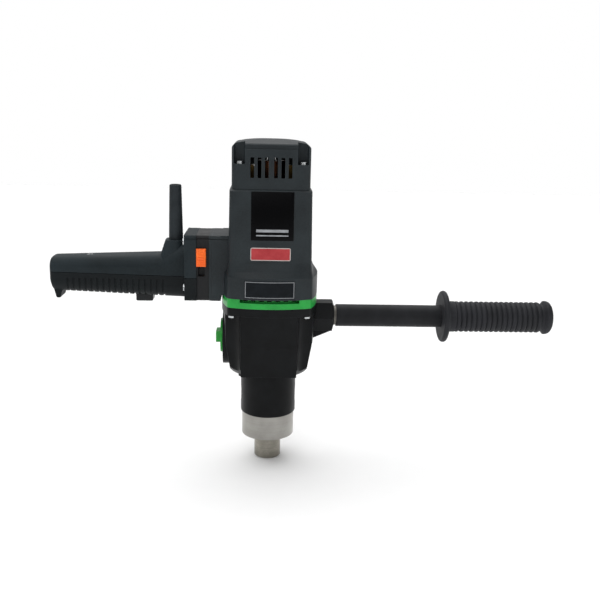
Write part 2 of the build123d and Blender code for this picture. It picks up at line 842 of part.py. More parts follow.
# Gear case: tapering body, flange, neck, selector pad, hexagonal handle boss and its gusset
ledge_z = case_z + case_ledge_height
low_z = case_z + case_low_height
bowl_foot_half = neck_diameter / 2 - overcut
case_outside = case_form(0.0, bowl_foot_half, case_ledge_half, case_z, ledge_z, low_z,
                         cover_z - case_flange_thickness / 2)
case_inside = case_form(case_wall, bowl_foot_half - case_wall, case_ledge_half - case_wall,
                        cavity_z, ledge_z + case_wall, case_inside_low_z, cover_z)
with BuildPart() as gear_housing:
    add(case_outside)
    with BuildSketch(level(flange_z)) as flange:
        bowed_square(flange_half, flange_bow, flange_corner_radius)
    extrude(flange.sketch, amount=case_flange_thickness)
    disc(level(neck_z), neck_diameter, low_z - neck_z)
    fillet(edges().group_by(Axis.Z)[0], radius=neck_edge_radius)
    with BuildSketch(facing_left(-case_low_half, 0, selector_z)) as pad:
        SlotOverall(pad_length, pad_width, rotation=90)
    extrude(pad.sketch, amount=-pad_face_x - case_low_half)
    add(handle_boss())
    with BuildSketch(Plane.XZ) as gusset:
        Polygon((boss_root_x, side_axis_z - gusset_drop), (gusset_tip_x, side_axis_z - gusset_tip_drop),
                (gusset_tip_x, side_axis_z), (boss_root_x, side_axis_z), align=None)
    extrude(gusset.sketch, amount=gusset_thickness / 2, both=True)
    add(case_inside, mode=Mode.SUBTRACT)
    disc(level(upper_bearing_top), case_lip_diameter, case_inside_low_z - upper_bearing_top,
         mode=Mode.SUBTRACT)
    disc(facing_left(-case_middle_half, 0, selector_z), selector_boss_diameter,
         -case_wall - selector_boss_length)
    disc(level(cavity_z - overcut, 0, layshaft_offset), layshaft_boss_diameter,
         layshaft_bush_length + overcut)
    disc(level(cavity_z - overcut, fork_rod_x, fork_rod_y), fork_hub_diameter, rod_boss_height + overcut)
    disc(level(neck_z), collar_spigot_diameter, collar_spigot_length, mode=Mode.SUBTRACT)
    disc(level(neck_z), bearing_passage_diameter, upper_bearing_z - neck_z, mode=Mode.SUBTRACT)
    disc(level(upper_bearing_z), spindle_bearing_diameter, spindle_bearing_width, mode=Mode.SUBTRACT)
    disc(level(cavity_z, 0, layshaft_offset), layshaft_bush_diameter, layshaft_bush_length,
         mode=Mode.SUBTRACT)
    disc(level(cavity_z + rod_boss_height, fork_rod_x, fork_rod_y), fork_rod_diameter + 2 * fit_gap,
         -rod_seat_depth, mode=Mode.SUBTRACT)
    disc(facing_left(pad_face_x, 0, selector_z), selector_shaft_diameter + 2 * running_gap,
         pad_face_x - selector_boss_x, mode=Mode.SUBTRACT)
    disc(facing_left(boss_face_x, 0, side_axis_z), stud_diameter, stud_hole_depth, mode=Mode.SUBTRACT)
    with BuildSketch(level(flange_z)) as screw_holes:
        with GridLocations(2 * case_screw_x, 2 * case_screw_y, 2, 2):
            Circle(screw_diameter / 2 + fit_gap)
    extrude(screw_holes.sketch, amount=case_flange_thickness, mode=Mode.SUBTRACT)
    with BuildSketch(Plane.YZ) as windows:
        with Locations((0, drift_slot_z + drift_slot_length / 2)):
            SlotOverall(drift_slot_length, neck_window_width, rotation=90)
    extrude(windows.sketch, amount=neck_diameter, both=True, mode=Mode.SUBTRACT)
gear_housing.part.label = "gear_housing"
export_step(gear_housing.part, "parts/gear_housing.step")

# Gear case cover: green plate with a spigot into the case, the motor bearing's hub and, in its upper
# edge, a recess with a row of slots that let the motor's air out
spigot_reach = min(case_top_half, scallop_centre * math.sqrt(2) - scallop_radius)
spigot_radius = spigot_reach - case_wall - cover_spigot_gap
with BuildPart() as gearcase_cover:
    with BuildSketch(level(cover_z)) as plate:
        bowed_square(flange_half, flange_bow, flange_corner_radius)
    extrude(plate.sketch, amount=cover_thickness)
    with BuildSketch(level(motor_z)) as outlets:
        with GridLocations(0, 2 * flange_half, 1, 2):
            Rectangle(2 * exhaust_half_width, 2 * outlet_slot_reach)
    extrude(outlets.sketch, amount=-exhaust_height, mode=Mode.SUBTRACT)
    with BuildSketch(level(motor_z)) as outlet_wall:
        bowed_square(flange_half - exhaust_depth, flange_bow, flange_corner_radius)
    extrude(outlet_wall.sketch, amount=-exhaust_height)
    disc(level(spigot_z), 2 * spigot_radius, cover_spigot_depth)
    disc(level(motor_z), cover_hub_diameter, cover_hub_height)
    disc(level(motor_bearing_z), motor_bearing_diameter, motor_bearing_width, mode=Mode.SUBTRACT)
    disc(level(spigot_z), armature_bore_diameter, motor_bearing_top - spigot_z, mode=Mode.SUBTRACT)
    disc(level(spigot_z, 0, layshaft_offset), layshaft_bearing_diameter,
         layshaft_bearing_top - spigot_z, mode=Mode.SUBTRACT)
    with BuildSketch(level(cover_z)) as screw_holes:
        with GridLocations(2 * case_screw_x, 2 * case_screw_y, 2, 2):
            Circle(screw_diameter / 2 + fit_gap)
    extrude(screw_holes.sketch, amount=cover_thickness, mode=Mode.SUBTRACT)
    with BuildSketch(level(motor_z)) as outlet_slots:
        with GridLocations(outlet_slot_pitch, 2 * flange_half, outlet_slot_count, 2):
            Rectangle(outlet_slot_width, 2 * outlet_slot_reach)
    extrude(outlet_slots.sketch, amount=-outlet_slot_height, mode=Mode.SUBTRACT)
gearcase_cover.part.label = "gearcase_cover"
export_step(gearcase_cover.part, "parts/gearcase_cover.step")

# Gear case screws, driven up through the case and the cover into the motor flange
with BuildPart() as gearcase_screws:
    for x in (-case_screw_x, case_screw_x):
        for y in (-case_screw_y, case_screw_y):
            pan_screw(Plane(origin=(x, y, flange_z), z_dir=(0, 0, -1)),
                      case_flange_thickness + cover_thickness + screw_thread_length)
gearcase_screws.part.label = "gearcase_screws"
export_step(gearcase_screws.part, "parts/gearcase_screws.step")

with BuildPart() as layshaft_bush:
    ring(level(cavity_z, 0, layshaft_offset), layshaft_bush_diameter - 2 * fit_gap,
         layshaft_journal_diameter + 2 * running_gap, layshaft_bush_length)
layshaft_bush.part.label = "layshaft_bush"
export_step(layshaft_bush.part, "parts/layshaft_bush.step")

with BuildPart() as layshaft_bearing:
    bearing(level(layshaft_bearing_z, 0, layshaft_offset), layshaft_journal_diameter + 2 * running_gap,
            layshaft_bearing_diameter - 2 * fit_gap, layshaft_bearing_width)
layshaft_bearing.part.label = "layshaft_bearing"
export_step(layshaft_bearing.part, "parts/layshaft_bearing.step")

# Layshaft with its two pinions cut in one piece
with BuildPart() as layshaft:
    disc(level(cavity_z + moving_gap, 0, layshaft_offset), layshaft_journal_diameter,
         layshaft_bearing_top - moving_gap - cavity_z - moving_gap)
    disc(level(layshaft_bush_top + moving_gap, 0, layshaft_offset), layshaft_diameter,
         intermediate_top - layshaft_bush_top - moving_gap)
    gear(level(low_wheel_z, 0, layshaft_offset), low_module, low_pinion_teeth, toward_spindle,
         low_tooth_width)
    gear(level(high_wheel_z, 0, layshaft_offset), high_module, high_pinion_teeth, toward_spindle,
         high_wheel_width)
layshaft.part.label = "layshaft"
export_step(layshaft.part, "parts/layshaft.step")

# Intermediate gear, pressed on the layshaft and driven by the armature's pinion
with BuildPart() as intermediate_gear:
    gear(level(intermediate_z, 0, layshaft_offset), first_module, intermediate_teeth,
         toward_spindle + 180 / intermediate_teeth, intermediate_width)
    disc(level(high_wheel_top, 0, layshaft_offset), intermediate_hub_diameter,
         intermediate_z - high_wheel_top)
    disc(level(high_wheel_top, 0, layshaft_offset), layshaft_diameter + 2 * fit_gap,
         intermediate_top - high_wheel_top, mode=Mode.SUBTRACT)
intermediate_gear.part.label = "intermediate_gear"
export_step(intermediate_gear.part, "parts/intermediate_gear.step")

# Low gear wheel, with claws on its upper face for the shift sleeve
with BuildPart() as low_gear_wheel:
    gear(level(low_wheel_z), low_module, low_wheel_teeth, toward_layshaft + 180 / low_wheel_teeth,
         low_tooth_width)
    dogs(level(claw_z), low_journal_diameter, 45, low_wheel_top - claw_z)
    disc(level(low_wheel_z), low_journal_diameter + 2 * running_gap, low_wheel_top - low_wheel_z,
         mode=Mode.SUBTRACT)
low_gear_wheel.part.label = "low_gear_wheel"
export_step(low_gear_wheel.part, "parts/low_gear_wheel.step")

# High gear wheel, with slots in its lower face for the sleeve's upper claws
with BuildPart() as high_gear_wheel:
    gear(level(high_wheel_z), high_module, high_wheel_teeth, toward_layshaft + 180 / high_wheel_teeth,
         high_wheel_width)
    with BuildSketch(level(high_wheel_z)) as claw_slots:
        Rectangle(dog_outer_diameter, dog_width + 4 * moving_gap)
        Rectangle(dog_width + 4 * moving_gap, dog_outer_diameter)
        Circle(dog_outer_diameter / 2 - claw_slot_rim, mode=Mode.INTERSECT)
    extrude(claw_slots.sketch, amount=dog_height, mode=Mode.SUBTRACT)
    disc(level(high_wheel_z), high_journal_diameter + 2 * running_gap, high_wheel_width,
         mode=Mode.SUBTRACT)
high_gear_wheel.part.label = "high_gear_wheel"
export_step(high_gear_wheel.part, "parts/high_gear_wheel.step")

# Shift sleeve: slides on the spindle's splines and carries claws at both ends
with BuildPart() as shift_sleeve:
    disc(level(sleeve_z), sleeve_diameter, sleeve_length)
    ring(level(pin_rest_z - sleeve_groove_width / 2), sleeve_diameter, sleeve_groove_diameter,
         sleeve_groove_width, mode=Mode.SUBTRACT)
    dogs(level(sleeve_z), low_journal_diameter + 2 * moving_gap, 0, -dog_height)
    dogs(level(sleeve_z + sleeve_length), low_journal_diameter + 2 * moving_gap, 0, dog_height)
    with BuildSketch(level(sleeve_z - dog_height)) as bore:
        Circle(spline_core_diameter / 2 + moving_gap)
        with PolarLocations(0, spline_keys):
            Rectangle(spline_diameter + 2 * moving_gap, spline_key_width + 2 * moving_gap)
    extrude(bore.sketch, amount=sleeve_length + 2 * dog_height, mode=Mode.SUBTRACT)
shift_sleeve.part.label = "shift_sleeve"
export_step(shift_sleeve.part, "parts/shift_sleeve.step")

# Shift fork: half ring in the sleeve's groove, guide hub on the rod, yoke for the eccentric pin
with BuildPart() as shift_fork:
    ring(level(fork_z), fork_outer_diameter, sleeve_groove_diameter + 2 * moving_gap, fork_thickness)
    block((yoke_x, fork_rod_y, fork_z),
          (-fork_outer_diameter / 2 + overcut, pin_rest_y + fork_web_margin, fork_z + fork_thickness))
    block((-fork_arm_stop, -fork_outer_diameter, fork_z),
          (fork_outer_diameter, fork_outer_diameter, fork_z + fork_thickness), mode=Mode.SUBTRACT)
    block((yoke_x, pin_rest_y - fork_yoke_width / 2, pin_rest_z - fork_yoke_height / 2),
          (yoke_x + fork_yoke_thickness, pin_rest_y + fork_yoke_width / 2, pin_rest_z + fork_yoke_height / 2))
    hub_plane = level(pin_rest_z - fork_hub_length / 2, fork_rod_x, fork_rod_y)
    disc(hub_plane, fork_hub_diameter, fork_hub_length)
    disc(hub_plane, fork_rod_diameter + 2 * running_gap, fork_hub_length, mode=Mode.SUBTRACT)
    with BuildSketch(facing_right(yoke_x, pin_rest_y, pin_rest_z)) as pin_slot:
        SlotOverall(selector_pin_diameter + 2 * selector_pin_throw, selector_pin_diameter + 2 * moving_gap)
    extrude(pin_slot.sketch, amount=fork_yoke_thickness, mode=Mode.SUBTRACT)
shift_fork.part.label = "shift_fork"
export_step(shift_fork.part, "parts/shift_fork.step")

with BuildPart() as fork_rod:
    rod_foot_z = cavity_z + rod_boss_height - rod_seat_depth
    disc(level(rod_foot_z, fork_rod_x, fork_rod_y), fork_rod_diameter, spigot_z - rod_foot_z)
fork_rod.part.label = "fork_rod"
export_step(fork_rod.part, "parts/fork_rod.step")

# Gear selector: disc with a grip bar outside, shaft through the case wall, eccentric pin inside
with BuildPart() as gear_selector:
    disc_x = pad_face_x - moving_gap
    disc(facing_left(disc_x, 0, selector_z), selector_disc_diameter, selector_disc_thickness)
    with BuildSketch(facing_left(disc_x - selector_disc_thickness, 0, selector_z)) as grip_bar:
        Rectangle(selector_grip_length, selector_grip_width)
        Circle(selector_disc_diameter / 2 - edge_break, mode=Mode.INTERSECT)
    extrude(grip_bar.sketch, amount=selector_grip_height)
    fillet(faces().sort_by(Axis.X)[0].edges(), radius=edge_break)
    disc(facing_right(disc_x, 0, selector_z), selector_shaft_diameter, selector_shaft_end_x - disc_x)
    disc(facing_right(selector_shaft_end_x, pin_rest_y, pin_rest_z), selector_pin_diameter,
         selector_pin_length)
gear_selector.part.label = "gear_selector"
export_step(gear_selector.part, "parts/gear_selector.step")

with BuildPart() as selector_retainer:
    ring(facing_right(selector_shaft_end_x - retainer_thickness, 0, selector_z), retainer_diameter,
         selector_shaft_diameter + 2 * fit_gap, retainer_thickness)
selector_retainer.part.label = "selector_retainer"
export_step(selector_retainer.part, "parts/selector_retainer.step")

# Motor housing: flange, flare, tapering square body and the handle bracket on the left
with BuildPart() as motor_housing:
    with BuildSketch(level(motor_z)) as foot:
        bowed_square(motor_flange_half, flange_bow, flange_corner_radius)
    extrude(foot.sketch, amount=motor_flange_length)
    with BuildSketch(level(flare_z)) as flare_foot:
        bowed_square(motor_flange_half, flange_bow, flange_corner_radius)
    with BuildSketch(level(flare_z + flare_middle_height)) as flare_middle:
        bowed_square(flare_middle_half, flange_bow / 2, (flange_corner_radius + body_corner_radius) / 2)
    with BuildSketch(level(body_z)) as body_foot:
        bowed_square(body_low_half, body_bow, body_corner_radius)
    with BuildSketch(level(cap_z)) as body_top:
        bowed_square(body_high_half, body_bow, body_corner_radius)
    loft([flare_foot.sketch.face(), flare_middle.sketch.face(), body_foot.sketch.face(),
          body_top.sketch.face()], ruled=True)
    chamfer(edges().group_by(Axis.Z)[-1], length=motor_edge_radius)
    block((bracket_face_x, -bracket_half_width, bracket_low_z),
          (bracket_root_x, bracket_half_width, bracket_high_z))
    fillet(edges().filter_by(Axis.X).group_by(Axis.X)[0], radius=bracket_corner_radius)
    block((bracket_root_x, -bracket_half_width, motor_z),
          (-stator_chamber_half, bracket_half_width, bracket_high_z))
    joint_groove(bracket_face_x - overcut, -body_low_half, bracket_half_width)
    disc(level(motor_z), fan_chamber_diameter, fan_roof_z - motor_z, mode=Mode.SUBTRACT)
    disc(level(motor_z), throat_diameter, body_z - motor_z, mode=Mode.SUBTRACT)
    with BuildSketch(level(body_z)) as chamber:
        RectangleRounded(2 * stator_chamber_half, 2 * stator_chamber_half, stator_chamber_radius)
    extrude(chamber.sketch, amount=motor_body_length, mode=Mode.SUBTRACT)
    with BuildSketch(level(cap_spigot_z - motor_boss_length)) as bosses:
        with GridLocations(2 * cap_screw_x, 2 * cap_screw_y, 2, 2):
            Circle(motor_boss_diameter / 2)
    extrude(bosses.sketch, amount=motor_boss_length)
    with BuildSketch(level(cap_z)) as cap_screw_holes:
        with GridLocations(2 * cap_screw_x, 2 * cap_screw_y, 2, 2):
            Circle(screw_diameter / 2 + fit_gap)
    extrude(cap_screw_holes.sketch, amount=-cap_spigot_depth - screw_thread_length, mode=Mode.SUBTRACT)
    with BuildSketch(level(motor_z)) as case_screw_holes:
        with GridLocations(2 * case_screw_x, 2 * case_screw_y, 2, 2):
            Circle(screw_diameter / 2 + fit_gap)
    extrude(case_screw_holes.sketch, amount=screw_thread_length, mode=Mode.SUBTRACT)
    for y, z in handle_screw_places:
        disc(facing_right(bracket_face_x, y, z), screw_diameter + 2 * fit_gap, screw_thread_length,
             mode=Mode.SUBTRACT)
    disc(facing_right(bracket_face_x, 0, bracket_low_z + wire_passage_height), wire_passage_diameter,
         -bracket_face_x - stator_chamber_half + overcut, mode=Mode.SUBTRACT)
motor_housing.part.label = "motor_housing"
export_step(motor_housing.part, "parts/motor_housing.step")

# Motor cap: domed vented cover with screw pockets at its corners, the upper bearing's hub and a web
# across the middle that parts the front vents from the back ones
with BuildPart() as motor_cap:
    with BuildSketch(level(cap_z)) as outline:
        bowed_square(cap_half, body_bow, cap_corner_radius)
    extrude(outline.sketch, amount=cap_length)
    for plane, edge_radius in ((Plane.XZ, cap_side_radius), (Plane.YZ, cap_edge_radius)):
        with BuildSketch(plane) as arch:
            with BuildLine():
                Polyline((-cap_half, shoulder_z - edge_radius), (-cap_half, cap_z),
                         (cap_half, cap_z), (cap_half, shoulder_z - edge_radius))
                for side in (-1, 1):
                    RadiusArc((side * cap_half, shoulder_z - edge_radius),
                              (side * (cap_half - edge_radius), shoulder_z), -side * edge_radius)
                ThreePointArc((-cap_half + edge_radius, shoulder_z), (0, top_z),
                              (cap_half - edge_radius, shoulder_z))
            make_face()
        extrude(arch.sketch, amount=cap_half + overcut, both=True, mode=Mode.INTERSECT)
    with BuildSketch(level(cap_spigot_z)) as spigot:
        RectangleRounded(2 * (stator_chamber_half - fit_gap), 2 * (stator_chamber_half - fit_gap),
                         stator_chamber_radius)
    extrude(spigot.sketch, amount=cap_spigot_depth)
    with BuildSketch(level(cap_spigot_z)) as hollow:
        RectangleRounded(2 * cap_inner_half, 2 * cap_inner_half, stator_chamber_radius)
        with GridLocations(2 * cap_screw_x, 2 * cap_screw_y, 2, 2):
            Circle(motor_boss_diameter / 2, mode=Mode.SUBTRACT)
    extrude(hollow.sketch, amount=cap_screw_z - cap_wall - cap_spigot_z, mode=Mode.SUBTRACT)
    with BuildSketch(level(cap_screw_z - cap_wall)) as upper_hollow:
        Rectangle(2 * (pocket_inner_x - cap_wall), 2 * cap_inner_half)
        Rectangle(2 * cap_inner_half, 2 * (cap_half - cap_pocket_depth - cap_wall))
    extrude(upper_hollow.sketch, amount=cap_ceiling_z - cap_screw_z + cap_wall, mode=Mode.SUBTRACT)
    disc(level(cap_bearing_z), cap_hub_diameter, shoulder_z - overcut - cap_bearing_z)
    with BuildSketch(level(cap_screw_z)) as pockets:
        with GridLocations(2 * cap_screw_x, 2 * cap_half, 2, 2):
            RectangleRounded(cap_pocket_width, 2 * cap_pocket_depth, cap_pocket_radius)
    extrude(pockets.sketch, amount=cap_length, mode=Mode.SUBTRACT)
    for y in (-cap_screw_y, cap_screw_y):
        for x in (-cap_screw_x, cap_screw_x):
            disc(level(cap_spigot_z, x, y), screw_diameter + 2 * fit_gap, cap_screw_z - cap_spigot_z,
                 mode=Mode.SUBTRACT)
    with BuildSketch(Plane.XZ) as vents:
        for side in (-1, 1):
            for i in range(vents_per_side):
                with Locations((side * (vent_centre_gap / 2 + i * vent_pitch), cap_z + vent_height)):
                    Rectangle(vent_width, vent_length)
    extrude(vents.sketch, amount=cap_half + overcut, both=True, mode=Mode.SUBTRACT)
    block((-cap_half + cap_wall / 2, -cap_web_thickness / 2, cap_web_z),
          (cap_half - cap_wall / 2, cap_web_thickness / 2, cap_ceiling_z + overcut))
    disc(level(cap_web_z), commutator_diameter + 2 * cap_web_gap, commutator_top + cap_web_gap - cap_web_z,
         mode=Mode.SUBTRACT)
    disc(level(cap_web_z), cap_bearing_journal + 2 * cap_web_gap, cap_bearing_z - cap_web_z,
         mode=Mode.SUBTRACT)
    disc(level(cap_bearing_z), cap_bearing_diameter, cap_bearing_width, mode=Mode.SUBTRACT)
    disc(level(cap_bearing_z), cap_bearing_journal + 2 * cap_bearing_recess,
         cap_bearing_width + cap_bearing_recess, mode=Mode.SUBTRACT)
    for side in (-1, 1):
        groove_y = side * cap_half
        groove_z = shoulder_z - cap_groove_drop
        block((-pocket_inner_x, groove_y - cap_groove_depth, groove_z),
              (pocket_inner_x, groove_y + cap_groove_depth, groove_z + cap_groove_height), mode=Mode.SUBTRACT)
motor_cap.part.label = "motor_cap"
export_step(motor_cap.part, "parts/motor_cap.step")

with BuildPart() as cap_screws:
    for x in (-cap_screw_x, cap_screw_x):
        for y in (-cap_screw_y, cap_screw_y):
            pan_screw(level(cap_screw_z, x, y),
                      cap_screw_z - cap_spigot_z + screw_thread_length - screw_tip_gap)
cap_screws.part.label = "cap_screws"
export_step(cap_screws.part, "parts/cap_screws.step")

# Armature: shaft with the pinion and pilot at its lower end, core, windings, commutator and fan
with BuildPart() as armature_shaft:
    disc(level(motor_bearing_z), armature_shaft_diameter, commutator_top - motor_bearing_z)
    disc(level(commutator_z), cap_bearing_journal, cap_bearing_top - moving_gap - commutator_z)
    gear(level(intermediate_z - pinion_overhang), first_module, armature_teeth, toward_layshaft,
         motor_bearing_z - intermediate_z + pinion_overhang)
    disc(level(spindle_top - pilot_length), pilot_diameter, intermediate_z - spindle_top + pilot_length)
armature_shaft.part.label = "armature_shaft"
export_step(armature_shaft.part, "parts/armature_shaft.step")

with BuildPart() as armature_core:
    with BuildSketch(level(core_z)) as lamination:
        Circle(armature_core_diameter / 2)
        Circle(armature_shaft_diameter / 2 + fit_gap, mode=Mode.SUBTRACT)
        with PolarLocations((armature_core_diameter - armature_slot_depth + overcut) / 2, armature_slots):
            Rectangle(armature_slot_depth + overcut, armature_slot_width, mode=Mode.SUBTRACT)
    extrude(lamination.sketch, amount=core_length)
armature_core.part.label = "armature_core"
export_step(armature_core.part, "parts/armature_core.step")

# Armature windings: bars in the slots joined by the end turns
slot_floor = armature_core_diameter / 2 - armature_slot_depth + fit_gap
with BuildPart() as armature_windings:
    for z in (core_z - winding_overhang, core_top):
        ring(level(z), winding_diameter, armature_shaft_diameter + 2 * fit_gap, winding_overhang)
    with BuildSketch(level(core_z)) as bars:
        with PolarLocations((slot_floor + winding_diameter / 2) / 2, armature_slots):
            Rectangle(winding_diameter / 2 - slot_floor, armature_slot_width - 2 * fit_gap)
    extrude(bars.sketch, amount=core_length)
armature_windings.part.label = "armature_windings"
export_step(armature_windings.part, "parts/armature_windings.step")

with BuildPart() as commutator:
    ring(level(commutator_z), commutator_diameter, armature_shaft_diameter + 2 * fit_gap, commutator_length)
    with BuildSketch(level(commutator_z)) as slits:
        with PolarLocations(commutator_diameter / 2, commutator_bars):
            Rectangle(2 * commutator_slit_depth, commutator_slit)
    extrude(slits.sketch, amount=commutator_length, mode=Mode.SUBTRACT)
commutator.part.label = "commutator"
export_step(commutator.part, "parts/commutator.step")

with BuildPart() as fan:
    disc(level(fan_z), fan_diameter, fan_plate_thickness)
    disc(level(fan_z), fan_hub_diameter, fan_height)
    with BuildSketch(level(fan_z)) as blades:
        with PolarLocations((fan_diameter + fan_hub_diameter) / 4 - overcut, fan_blades):
            Rectangle((fan_diameter - fan_hub_diameter) / 2, fan_blade_thickness)
    extrude(blades.sketch, amount=fan_height)
    disc(level(fan_z), armature_shaft_diameter + 2 * fit_gap, fan_height, mode=Mode.SUBTRACT)
fan.part.label = "fan"
export_step(fan.part, "parts/fan.step")

with BuildPart() as motor_lower_bearing:
    bearing(level(motor_bearing_z), armature_shaft_diameter + 2 * running_gap,
            motor_bearing_diameter - 2 * fit_gap, motor_bearing_width)
motor_lower_bearing.part.label = "motor_lower_bearing"
export_step(motor_lower_bearing.part, "parts/motor_lower_bearing.step")

with BuildPart() as motor_upper_bearing:
    bearing(level(cap_bearing_z), cap_bearing_journal + 2 * running_gap,
            cap_bearing_diameter - 2 * fit_gap, cap_bearing_width)
motor_upper_bearing.part.label = "motor_upper_bearing"
export_step(motor_upper_bearing.part, "parts/motor_upper_bearing.step")

# Stator: laminated ring with two poles, and a field coil round each pole
yoke_bore = stator_diameter - 2 * stator_ring_thickness
shoe_outer = stator_bore + 2 * pole_shoe_thickness
with BuildPart() as stator_core:
    with BuildSketch(level(body_z)) as lamination:
        Rectangle(pole_shoe_width, shoe_outer)
        Circle(shoe_outer / 2, mode=Mode.INTERSECT)
        Rectangle(pole_width, stator_diameter - stator_ring_thickness)
        with BuildSketch(mode=Mode.ADD):
            Circle(stator_diameter / 2)
            Circle(yoke_bore / 2, mode=Mode.SUBTRACT)
        Circle(stator_bore / 2, mode=Mode.SUBTRACT)
    extrude(lamination.sketch, amount=stator_length)
stator_core.part.label = "stator_core"
export_step(stator_core.part, "parts/stator_core.step")

with BuildPart() as field_coils:
    with BuildSketch(level(body_z - coil_overhang)) as loops:
        Rectangle(coil_width, stator_diameter)
        Circle(yoke_bore / 2 - moving_gap, mode=Mode.INTERSECT)
        Circle(shoe_outer / 2 + moving_gap, mode=Mode.SUBTRACT)
    extrude(loops.sketch, amount=stator_length + 2 * coil_overhang)
    block((-pole_width / 2 - fit_gap, -stator_diameter, body_z - fit_gap),
          (pole_width / 2 + fit_gap, stator_diameter, body_z + stator_length), mode=Mode.SUBTRACT)
field_coils.part.label = "field_coils"
export_step(field_coils.part, "parts/field_coils.step")

with BuildPart() as air_guide_ring:
    ring(level(fan_roof_z - air_ring_thickness), fan_chamber_diameter - 2 * fit_gap, air_ring_bore,
         air_ring_thickness)
air_guide_ring.part.label = "air_guide_ring"
export_step(air_guide_ring.part, "parts/air_guide_ring.step")

# Brush gear on the left and right of the commutator
holder_x = commutator_diameter / 2 + holder_standoff
brush_x = commutator_diameter / 2 + running_gap
brush_end_x = brush_x + brush_length
with BuildPart() as brush_holders:
    for side in (-1, 1):
        outwards = Plane(origin=(side * holder_x, 0, brush_z), x_dir=(0, side, 0), z_dir=(side, 0, 0))
        with BuildSketch(outwards) as tube:
            Rectangle(brush_width + 2 * holder_wall, brush_depth + 2 * holder_wall)
        extrude(tube.sketch, amount=cap_inner_half - holder_x)
        with BuildSketch(outwards) as hole:
            Rectangle(brush_width + 2 * fit_gap, brush_depth + 2 * fit_gap)
        extrude(hole.sketch, amount=cap_inner_half - holder_x - holder_wall, mode=Mode.SUBTRACT)
brush_holders.part.label = "brush_holders"
export_step(brush_holders.part, "parts/brush_holders.step")

with BuildPart() as carbon_brushes:
    for side in (-1, 1):
        outwards = Plane(origin=(side * brush_x, 0, brush_z), x_dir=(0, side, 0), z_dir=(side, 0, 0))
        with BuildSketch(outwards) as face:
            Rectangle(brush_width, brush_depth)
        extrude(face.sketch, amount=brush_length)
carbon_brushes.part.label = "carbon_brushes"
export_step(carbon_brushes.part, "parts/carbon_brushes.step")

with BuildPart() as brush_springs:
    for side in (-1, 1):
        spring_plane = Plane(origin=(side * brush_end_x, 0, brush_z), z_dir=(side, 0, 0))
        ring(spring_plane, brush_spring_diameter, brush_spring_diameter - 2 * brush_spring_wire,
             cap_inner_half - holder_wall - brush_end_x)
brush_springs.part.label = "brush_springs"
export_step(brush_springs.part, "parts/brush_springs.step")

# Joint plate and switch housing between the motor bracket and the handle
with BuildPart() as handle_joint_plate:
    block((switch_housing_right_x, -joint_plate_half_width, bracket_low_z),
          (bracket_face_x, joint_plate_half_width, bracket_high_z))
    fillet(edges().filter_by(Axis.X), radius=bracket_corner_radius)
    joint_groove(switch_housing_right_x - overcut, bracket_face_x + overcut, joint_plate_half_width)
    block((switch_housing_right_x, -switch_window_half_width, switch_window_low_z),
          (bracket_face_x, switch_window_half_width, switch_window_high_z), mode=Mode.SUBTRACT)
    for y, z in handle_screw_places:
        disc(facing_right(switch_housing_right_x, y, z), screw_diameter + 2 * fit_gap,
             joint_plate_thickness, mode=Mode.SUBTRACT)
handle_joint_plate.part.label = "handle_joint_plate"
export_step(handle_joint_plate.part, "parts/handle_joint_plate.step")

stem_high_z = (slider_low_z + slider_high_z + slider_stem_height) / 2
stem_low_z = stem_high_z - slider_stem_height
with BuildPart() as switch_housing:
    block((switch_housing_left_x, -switch_housing_half_width, bracket_low_z),
          (switch_housing_right_x, switch_housing_half_width, bracket_high_z))
    fillet(edges().filter_by(Axis.X), radius=bracket_corner_radius)
    joint_groove(switch_housing_left_x - overcut, switch_housing_right_x + overcut, switch_housing_half_width)
    block((switch_housing_left_x, -switch_window_half_width, switch_window_low_z),
          (switch_housing_right_x, switch_window_half_width, switch_window_high_z), mode=Mode.SUBTRACT)
    block((slider_x - slider_stem_width / 2 - moving_gap, -switch_housing_half_width - overcut,
           stem_low_z - slider_travel - moving_gap),
          (slider_x + slider_stem_width / 2 + moving_gap, -switch_window_half_width + overcut,
           stem_high_z + moving_gap), mode=Mode.SUBTRACT)
    for y, z in handle_screw_places:
        disc(facing_right(switch_housing_left_x, y, z), screw_diameter + 2 * fit_gap, switch_housing_length,
             mode=Mode.SUBTRACT)
switch_housing.part.label = "switch_housing"
export_step(switch_housing.part, "parts/switch_housing.step")

# Direction slider on the front of the switch housing, and the switch it moves
with BuildPart() as direction_slider:
    slider_back_y = -switch_housing_half_width - moving_gap
    block((slider_x - slider_width / 2, slider_back_y - slider_height, slider_low_z),
          (slider_x + slider_width / 2, slider_back_y, slider_high_z))
    fillet(faces().sort_by(Axis.Y)[0].edges(), radius=edge_break)
    block((slider_x - slider_stem_width / 2, slider_back_y, stem_low_z),
          (slider_x + slider_stem_width / 2, slider_back_y + slider_stem_length, stem_high_z))
direction_slider.part.label = "direction_slider"
export_step(direction_slider.part, "parts/direction_slider.step")

with BuildPart() as direction_switch:
    switch_front_y = slider_back_y + slider_stem_length + moving_gap
    block((switch_housing_left_x + direction_switch_margin, switch_front_y, switch_window_low_z),
          (switch_housing_right_x - direction_switch_margin, switch_front_y + direction_switch_depth,
           switch_window_low_z + direction_switch_height))
direction_switch.part.label = "direction_switch"
export_step(direction_switch.part, "parts/direction_switch.step")

grip_rise = (grip_root_high_z - handle_end_high_z) / (grip_root_x - handle_end_x)
shell_screw_top = handle_end_high_z + grip_rise * (shell_screw_x - handle_end_x) - shell_screw_sink
shell_screw_z = shell_screw_top - screw_head_height
shell_screw_length = shell_screw_z - parting_z + screw_thread_length

